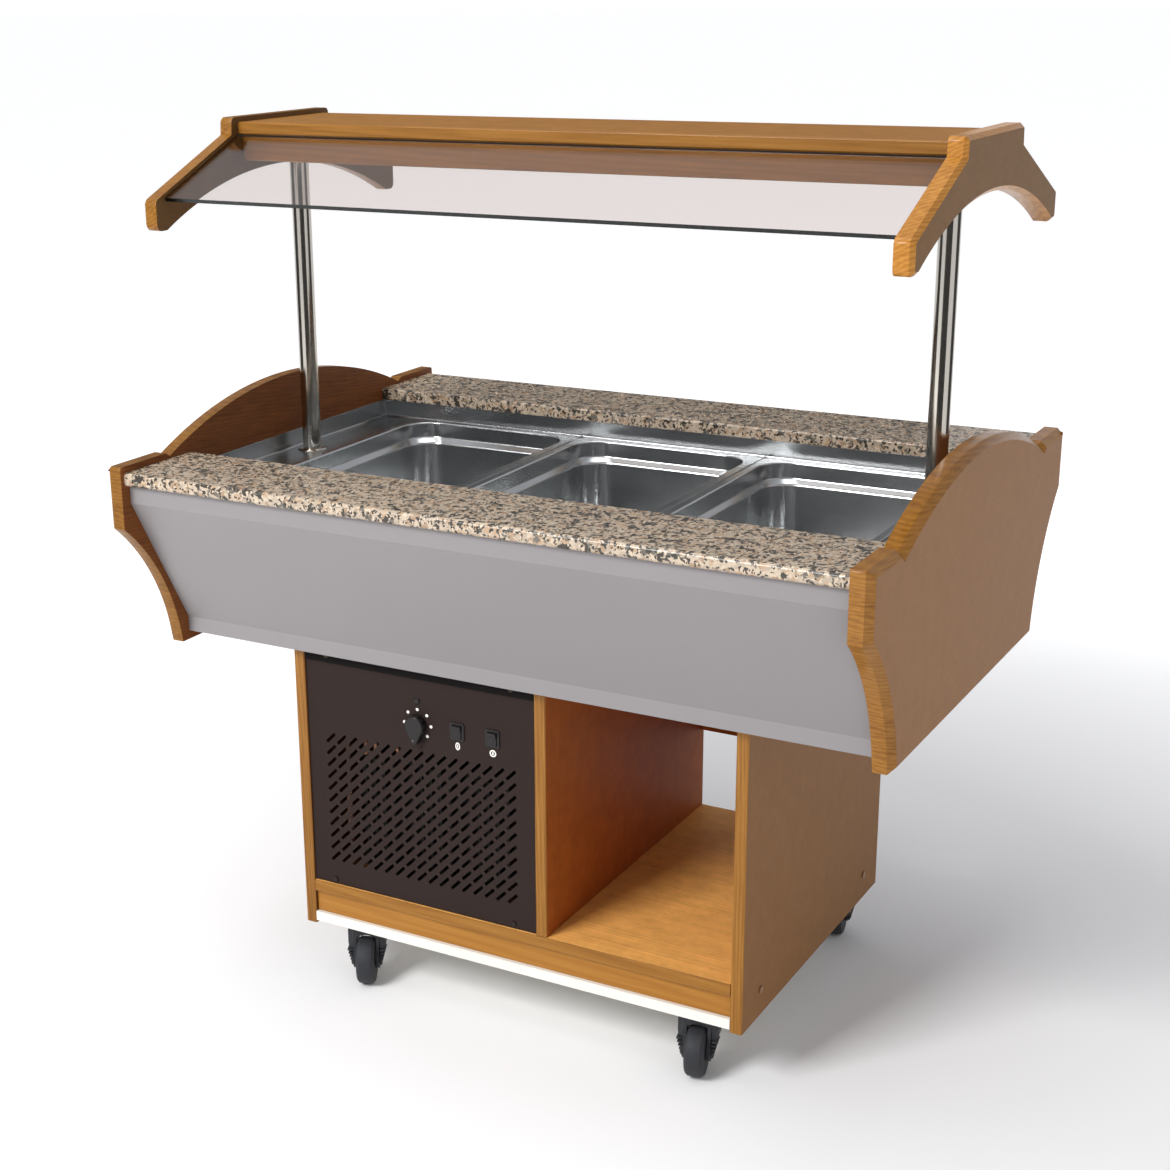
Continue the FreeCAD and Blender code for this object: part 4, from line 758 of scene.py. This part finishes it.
class SALAD_OT_posts(bpy.types.Operator):
    """Turns the chrome posts and their cover rings"""
    bl_idname = "salad.posts"
    bl_label = "Posts"

    def execute(self, context):
        detail = context.scene.salad_detail
        metal = context.scene.salad_metal
        chrome = plain_finish("post_chrome", metal.chrome, 0.14, metallic=1.0, wave=400.0, depth=0.00001,
                              spread=0.05)
        ring_low, ring_high = corners("post_rosettes")
        for side in ("left", "right"):
            node = "post_" + side
            low, high = corners(node)
            middle = (low + high) / 2.0
            radius = (high.x - low.x) / 2.0
            shape = bmesh.new()
            turned(shape, [(radius, 0.0), (radius, high.z - low.z)], (middle.x, middle.y, low.z), ABOVE,
                   detail.ring_steps)
            new_piece("chrome_" + node, shape, chrome, "cart", (node,))
        shape = bmesh.new()
        wide = (ring_high.y - ring_low.y) / 2.0
        thick = detail.ring_thick
        play = detail.ring_play
        profile = [(radius + play, 0.0), (wide, 0.0), (wide, thick * 0.3), (wide - thick * 0.35, thick * 0.7),
                   (wide - thick * 1.05, thick), (radius + play * 3.0, thick),
                   (radius + play, thick - play * 2.0)]
        for x in (ring_low.x + wide, ring_high.x - wide):
            turned(shape, profile, (x, 0.0, ring_low.z), ABOVE, detail.ring_steps)
            turned(shape, profile, (x, 0.0, ring_high.z), BELOW, detail.ring_steps)
        new_piece("cover_rings", shape, chrome, "cart", ("post_rosettes",))
        return {"FINISHED"}


class SALAD_OT_glass(bpy.types.Operator):
    """Dresses the front glass and lamp and adds a dark strip of painted shadow at the glass's top edge"""
    bl_idname = "salad.glass"
    bl_label = "Glass and lamp"

    def execute(self, context):
        plastic = context.scene.salad_plastic
        detail = context.scene.salad_detail
        low, high = corners("front_glass")
        slant = self.slant(low, high, detail.glass_sheet)
        slope = Vector((0.0, math.cos(slant), math.sin(slant)))
        dress("front_glass", glass_finish("front_glass", plastic.tint, tuple(slope)))
        out = Vector((0.0, -math.sin(slant), math.cos(slant)))
        top = Vector((0.0, high.y - detail.glass_sheet * math.sin(slant), high.z))
        self.shadow_strip(top, slope, out, plastic, detail.glass_sheet)
        opal = plain_finish("lamp_opal", (0.84, 0.84, 0.80), 0.35, wave=300.0, depth=0.00002, spread=0.02)
        dress("lamp_tube", opal)
        return {"FINISHED"}

    @staticmethod
    def slant(low, high, sheet):
        """Slant of the glass from its box, which its thickness widens, so it is found in rounds."""
        slant = math.atan2(high.z - low.z, high.y - low.y)
        for _ in range(6):
            rise = high.z - low.z - sheet * math.cos(slant)
            slant = math.atan2(rise, high.y - low.y - sheet * math.sin(slant))
        return slant

    def shadow_strip(self, top, slope, out, plastic, sheet):
        """Dark strip over the upper end of the glass, from one gable to the other: painted shadow under the
        top board.
        """
        lap, play, proud, end = GLASS_SHADOW_STRIP
        section = [(end, proud), (-lap, proud), (-lap, play), (play, play), (play, -sheet), (end, -sheet)]
        shape = bmesh.new()
        lofted(shape, [[top + slope * along + out * off + Vector((corner.x, 0.0, 0.0))
                        for along, off in section] for corner in corners("canopy_beams")])
        painted_shadow = plain_finish("glass_painted_shadow", shaded(plastic.black, 1.2), 0.65, wave=600.0, shine=0.08)
        new_piece("glass_shadow_strip", shape, painted_shadow, "cart", ())


class SALAD_OT_machine(bpy.types.Operator):
    """Dresses what stands in the machine bay and under the well"""
    bl_idname = "salad.machine"
    bl_label = "Machine bay"

    def execute(self, context):
        aluminium = plain_finish("mill_aluminium", (0.70, 0.71, 0.72), 0.34, metallic=1.0, wave=800.0,
                                 depth=0.00005)
        enamel = plain_finish("black_enamel", (0.020, 0.020, 0.021), 0.32, wave=300.0, depth=0.00008,
                              shine=0.5)
        copper = plain_finish("copper_pipe", (0.72, 0.36, 0.22), 0.28, metallic=1.0, wave=300.0,
                              depth=0.00003, spread=0.12)
        brass = plain_finish("yellow_brass", (0.68, 0.50, 0.22), 0.30, metallic=1.0, wave=500.0,
                             depth=0.00004)
        foam = plain_finish("rigid_foam", (0.74, 0.62, 0.36), 0.80, wave=260.0, depth=0.00060, spread=0.08)
        # The condenser's fins are near black: painted shade inside the machine bay, seen through the slots.
        shade_black = plain_finish("shade_black_fins", (0.016, 0.015, 0.014), 0.42, wave=800.0, depth=0.00005,
                              spread=0.20)
        dress("condenser_coil", shade_black)
        for name in ("evaporator_coil", "condenser_fan"):
            dress(name, aluminium)
        for name in ("compressor", "fan_shroud"):
            dress(name, enamel, 0.0010)
        dress("refrigerant_pipes", copper)
        dress("drain_valve", brass)
        dress("drain_lever", brass, 0.0006)
        dress("well_insulation", foam)
        return {"FINISHED"}


class SALAD_OT_controls(bpy.types.Operator):
    """Dresses the knob, switches and pilot lamp and adds the printed marks and the bay's painted shadow strip
    """
    bl_idname = "salad.controls"
    bl_label = "Controls"

    def execute(self, context):
        plastic = context.scene.salad_plastic
        detail = context.scene.salad_detail
        black = plain_finish("black_moulding", plastic.black, 0.38, wave=1800.0, depth=0.00005, spread=0.08)
        for name in ("thermostat_body", "pilot_lamp", "cable_gland"):
            dress(name, black)
        dress("thermostat_knob", black, 0.0006)
        for name in ("switch_bodies", "rocker_power", "rocker_lamp"):
            dress(name, black, 0.0004)
        sheet_low, sheet_high = corners("control_panel")
        self.panel_marks(sheet_low.y, plastic, detail)
        self.knob_dot()
        self.shadow_strip(sheet_low, sheet_high, plastic)
        return {"FINISHED"}

    def panel_marks(self, face, plastic, detail):
        """Dots of the dial and the marks under the switches, printed on the front sheet."""
        low, high = corners("thermostat_knob")
        radius = (high.x - low.x) / 2.0
        shape = bmesh.new()
        profile = [(detail.dot_radius, -PRINT_RISE), (detail.dot_radius, PRINT_RISE)]
        for k in range(DIAL_DOTS):
            angle = math.radians(DIAL_START - DIAL_STEP * k)
            at = (low.x + radius + detail.dial_radius * math.cos(angle), face,
                  high.z - radius + detail.dial_radius * math.sin(angle))
            turned(shape, profile, at, FRONT, 20)
        for node, (half_x, half_z) in SWITCH_MARKS.items():
            self.mark(shape, node, face, half_x, half_z, detail.mark_drop)
        white = plain_finish("white_print", plastic.white, 0.55, depth=0.00002, spread=0.03)
        new_piece("panel_marks", shape, white, "cart", ())

    def mark(self, shape, node, face, half_x, half_z, drop):
        """Printed oval ring with a bar in it under a switch."""
        low, high = corners(node)
        middle = Vector(((low.x + high.x) / 2.0, face, low.z - drop))
        loops = []
        for part, deep in ((1.0, MARK_DEPTH), (1.0, -PRINT_RISE),
                           (MARK_OPENING, -PRINT_RISE), (MARK_OPENING, MARK_DEPTH)):
            ring = []
            for k in range(MARK_POINTS):
                turn = 2.0 * math.pi * k / MARK_POINTS
                ring.append(middle + Vector((half_x * part * math.cos(turn), deep,
                                             half_z * part * math.sin(turn))))
            loops.append(ring)
        lofted(shape, loops, cap_start=False, cap_end=False)
        bar_x, bar_z = MARK_BAR
        lofted(shape, [[middle + Vector((half_x * bar_x * x, deep, half_z * bar_z * z)) for x, z in SQUARE]
                       for deep in (MARK_DEPTH, -PRINT_RISE)])

    def knob_dot(self):
        """Grey dot near the knob's tip."""
        radius, shift, rise, depth, proud = KNOB_DOT
        low, high = corners("thermostat_knob")
        at = ((low.x + high.x) / 2.0 - shift, low.y, low.z + rise)
        shape = bmesh.new()
        turned(shape, [(radius, -depth), (radius, proud)], at, FRONT, 16)
        grey = plain_finish("knob_print", (0.16, 0.14, 0.13), 0.55, depth=0.00002, spread=0.05)
        new_piece("knob_dot", shape, grey, "thermostat_knob", ())

    def shadow_strip(self, low, high, plastic):
        """Dark strip over the top of the machine bay's front sheet: painted shadow cast by the fascia above.
        """
        thick, tall, soft = BAY_SHADOW_STRIP
        section = rounded_line([(0.0, 0.0), (-thick, 0.0), (-thick, -tall), (0.0, -tall)], (soft, soft), 5)
        shape = bmesh.new()
        lofted(shape, [[Vector((x, low.y + y, high.z + z)) for y, z in section] for x in (low.x, high.x)])
        painted_shadow = plain_finish("black_painted_shadow", shaded(plastic.black, 0.7), 0.70, wave=600.0, shine=0.08)
        new_piece("bay_top_shadow_strip", shape, painted_shadow, "cart", ())


class SALAD_OT_fasteners(bpy.types.Operator):
    """Dresses the sheet screws and the caps on the side boards"""
    bl_idname = "salad.fasteners"
    bl_label = "Fasteners"

    def execute(self, context):
        steel = plain_finish("browned_screw", (0.045, 0.036, 0.030), 0.38, metallic=1.0, depth=0.00004,
                             spread=0.08)
        brown = plain_finish("brown_cap", (0.24, 0.12, 0.05), 0.34, wave=600.0, depth=0.00004, spread=0.06,
                             shine=0.5)
        dress("panel_screws", steel)
        dress("side_screws", brown)
        return {"FINISHED"}


class SALAD_OT_casters(bpy.types.Operator):
    """Dresses the casters and adds the skirts of their forks"""
    bl_idname = "salad.casters"
    bl_label = "Casters"

    def execute(self, context):
        plastic = context.scene.salad_plastic
        nylon = plain_finish("caster_nylon", plastic.caster, 0.42, wave=700.0)
        tread = plain_finish("caster_tread", shaded(plastic.caster, 1.1), 0.58, wave=500.0, depth=0.00018,
                             spread=0.12)
        zinc = plain_finish("zinc_plate", (0.42, 0.42, 0.41), 0.36, metallic=1.0, wave=500.0, depth=0.00006)
        dress("caster_plates", zinc)
        joints = {joint["name"]: joint for joint in frame["joints"]}
        for tag in CASTER_TAGS:
            dress("caster_fork_" + tag, nylon, 0.0014)
            dress("caster_wheel_" + tag, tread, 0.0012)
            swivel = Vector(joints["swivel_" + tag]["pos_m"])
            across = Vector(joints["roll_" + tag]["axis"])
            self.skirts(tag, swivel, across, nylon)
        return {"FINISHED"}

    def skirts(self, tag, swivel, across, nylon):
        """Walls that join the hood to both ends of the axle, with ribs outside."""
        trail = Vector(ABOVE).cross(across)

        def spot(x, y, z):
            """Point given across, along the trail and up, about the swivel."""
            flat = across * x + trail * y
            return Vector((swivel.x + flat.x, swivel.y + flat.y, z))

        shape = bmesh.new()
        for side in (-1.0, 1.0):
            rings = []
            for height, near, far, back, ahead in SKIRT_LEVELS:
                ring = [(near, back), (far, back + SKIRT_CUT), (far, ahead - SKIRT_CUT), (near, ahead)]
                rings.append([spot(side * x, y, height) for x, y in ring])
            lofted(shape, rings)
            for k in range(RIBS):
                height = RIB_FOOT + RIB_STEP * k
                reach = RIB_REACH + RIB_FLARE * (height - SKIRT_LEVELS[-1][0])
                rib = [(RIB_MIDDLE + RIB_SPAN * y, height + RIB_HALF * z) for z, y in SQUARE]
                lofted(shape, [[spot(side * x, y, z) for y, z in rib] for x in (RIB_ROOT, reach)])
        piece = new_piece("fork_skirts_" + tag, shape, nylon, "caster_fork_" + tag, ())
        bevel = piece.modifiers.new("soften", "BEVEL")
        bevel.width = SKIRT_ROUND
        bevel.segments = 2


class SALAD_OT_studio(bpy.types.Operator):
    """Sets up the pale floor, the soft lights, the dark cards and the camera"""
    bl_idname = "salad.studio"
    bl_label = "Studio"

    def execute(self, context):
        scene = context.scene
        self.floor(scene)
        self.world(scene)
        self.softbox(scene, "key_light", (-1.5, -4.0, 3.6), (0.0, -0.1, 0.6), 1.8, 230.0)
        self.softbox(scene, "top_light", (-0.6, -0.2, 4.4), (0.0, 0.0, 0.8), 3.0, 60.0)
        for name, (azimuth, wide) in CARDS.items():
            angle = math.radians(azimuth)
            at = (CARD_DISTANCE * math.cos(angle), CARD_DISTANCE * math.sin(angle), CARD_MIDDLE)
            self.card(scene, "dark_card_" + name, at, (0.0, 0.0, CARD_MIDDLE), wide, CARD_TALL)
        self.card(scene, "dark_card_rear", (-2.6, 4.4, 1.9), (0.0, 0.0, 0.9), 3.6, 1.7)
        self.camera(scene)
        scene.view_settings.view_transform = "Standard"
        return {"FINISHED"}

    def staged(self, scene, name, ring, material):
        """Flat piece of the stage."""
        shape = bmesh.new()
        shape.faces.new([shape.verts.new(point) for point in ring])
        mesh = bpy.data.meshes.new(name)
        shape.to_mesh(mesh)
        shape.free()
        piece = bpy.data.objects.new(name, mesh)
        piece.data.materials.append(material)
        scene.collection.objects.link(piece)
        return piece

    def floor(self, scene):
        """Pale floor that turns white away from the middle."""
        finish = Finish("pale_floor", {"Emission Strength": 1.0, "Specular IOR Level": 0.0})
        cloud = finish.noise([0.7] * 3, 3.0, 0.5)
        away = finish.add("ShaderNodeVectorMath", {"operation": "LENGTH"}, {0: finish.place()}, "Value")
        glow = finish.ramp(away * 0.1, [(0.10, (0.0,) * 3), (0.25, (0.55,) * 3)])
        finish.feed("Emission Color", glow)
        pale = finish.paint(finish.blend(cloud, (0.88,) * 3, (0.91,) * 3), cloud * 0.1 + 0.65)
        ring = [Vector((x * FLOOR_HALF, y * FLOOR_HALF, -FLOOR_SINK)) for x, y in SQUARE]
        self.staged(scene, "pale_floor", ring, pale)

    def card(self, scene, name, at, aim, wide, tall):
        """Dark card that only shows in polished surfaces."""
        finish = Finish(name, {})
        weave = finish.noise([40.0] * 3, 3.0, 0.6)
        dark = finish.paint(finish.blend(weave, (0.030,) * 3, (0.050,) * 3), weave * 0.1 + 0.85)
        ahead = (Vector(aim) - Vector(at)).normalized()
        level = ahead.cross(Vector(ABOVE)).normalized()
        over = level.cross(ahead)
        ring = [Vector(at) + level * (wide / 2.0 * x) + over * (tall / 2.0 * y) for x, y in SQUARE]
        card = self.staged(scene, name, ring, dark)
        card.visible_camera = False
        card.visible_diffuse = False
        card.visible_transmission = False
        card.visible_shadow = False

    def world(self, scene):
        """Room that is white at the horizon and greyer overhead."""
        world = bpy.data.worlds.new("studio_room")
        world.use_nodes = True
        tree = world.node_tree
        direction = tree.nodes.new("ShaderNodeTexCoord")
        split = tree.nodes.new("ShaderNodeSeparateXYZ")
        ramp = tree.nodes.new("ShaderNodeValToRGB")
        tree.links.new(direction.outputs["Generated"], split.inputs[0])
        tree.links.new(split.outputs["Z"], ramp.inputs["Fac"])
        tree.links.new(ramp.outputs["Color"], tree.nodes["Background"].inputs["Color"])
        Finish.set_stops(ramp.color_ramp, [(0.05, (1.0,) * 3), (0.30, (0.47, 0.475, 0.50))])
        scene.world = world

    def softbox(self, scene, name, at, aim, side, power):
        """Square lamp at a place, aimed at a point, with its side in metres and its power in watts."""
        data = bpy.data.lights.new(name, "AREA")
        data.shape = "SQUARE"
        data.size = side
        data.energy = power
        light = bpy.data.objects.new(name, data)
        light.location = at
        light.rotation_euler = (Vector(aim) - Vector(at)).to_track_quat("-Z", "Y").to_euler()
        scene.collection.objects.link(light)

    def camera(self, scene):
        """Camera at the photograph's place, with its turn, its lens and its shifted axis."""
        yaw, pitch, roll = (math.radians(a) for a in (CAMERA_YAW, CAMERA_PITCH, CAMERA_ROLL))
        ahead = Vector((-math.sin(yaw) * math.cos(pitch), math.cos(yaw) * math.cos(pitch), math.sin(pitch)))
        level = ahead.cross(Vector(ABOVE)).normalized()
        upright = level.cross(ahead)
        across = level * math.cos(roll) + upright * math.sin(roll)
        over = upright * math.cos(roll) - level * math.sin(roll)
        turn = Matrix((across, over, -ahead)).transposed()
        data = bpy.data.cameras.new("view")
        data.sensor_width = SENSOR_MM
        data.lens = SENSOR_MM * FOCAL_PIXELS / FRAME_SIDE
        data.shift_x = (FRAME_SIDE / 2.0 - AXIS_PIXEL[0]) / FRAME_SIDE
        data.shift_y = (AXIS_PIXEL[1] - FRAME_SIDE / 2.0) / FRAME_SIDE
        view = bpy.data.objects.new("view", data)
        view.matrix_world = Matrix.Translation(CAMERA_AT) @ turn.to_4x4()
        scene.collection.objects.link(view)
        scene.camera = view


class SALAD_PT_sidebar(bpy.types.Panel):
    """Lists the salad bar's pieces"""
    bl_idname = "SALAD_PT_sidebar"
    bl_label = "Salad Bar"
    bl_space_type = "VIEW_3D"
    bl_region_type = "UI"
    bl_category = "Salad Bar"

    def draw(self, context):
        for operator in OPERATORS:
            self.layout.operator(operator.bl_idname)
        for group in GROUPS:
            settings = getattr(context.scene, group)
            box = self.layout.box()
            for key in settings.__annotations__:
                box.prop(settings, key)


GROUPS = {
    "salad_wood": SaladWood,
    "salad_stone": SaladStone,
    "salad_metal": SaladMetal,
    "salad_plastic": SaladPlastic,
    "salad_detail": SaladDetail,
}
OPERATORS = (
    SALAD_OT_boards,
    SALAD_OT_stone,
    SALAD_OT_sheets,
    SALAD_OT_pans,
    SALAD_OT_posts,
    SALAD_OT_glass,
    SALAD_OT_machine,
    SALAD_OT_controls,
    SALAD_OT_fasteners,
    SALAD_OT_casters,
    SALAD_OT_studio,
)


def register():
    """Registers the settings, the operators and the panel."""
    for cls in (*GROUPS.values(), *OPERATORS, SALAD_PT_sidebar):
        bpy.utils.register_class(cls)
    for name, cls in GROUPS.items():
        setattr(bpy.types.Scene, name, PointerProperty(type=cls))


def unregister():
    """Takes away what register() added."""
    for name in GROUPS:
        delattr(bpy.types.Scene, name)
    for cls in (SALAD_PT_sidebar, *reversed(OPERATORS), *GROUPS.values()):
        bpy.utils.unregister_class(cls)


def main():
    """Builds every piece in order."""
    register()
    for operator in OPERATORS:
        family, action = operator.bl_idname.split(".")
        getattr(getattr(bpy.ops, family), action)()


if __name__ == "__main__":
    main()
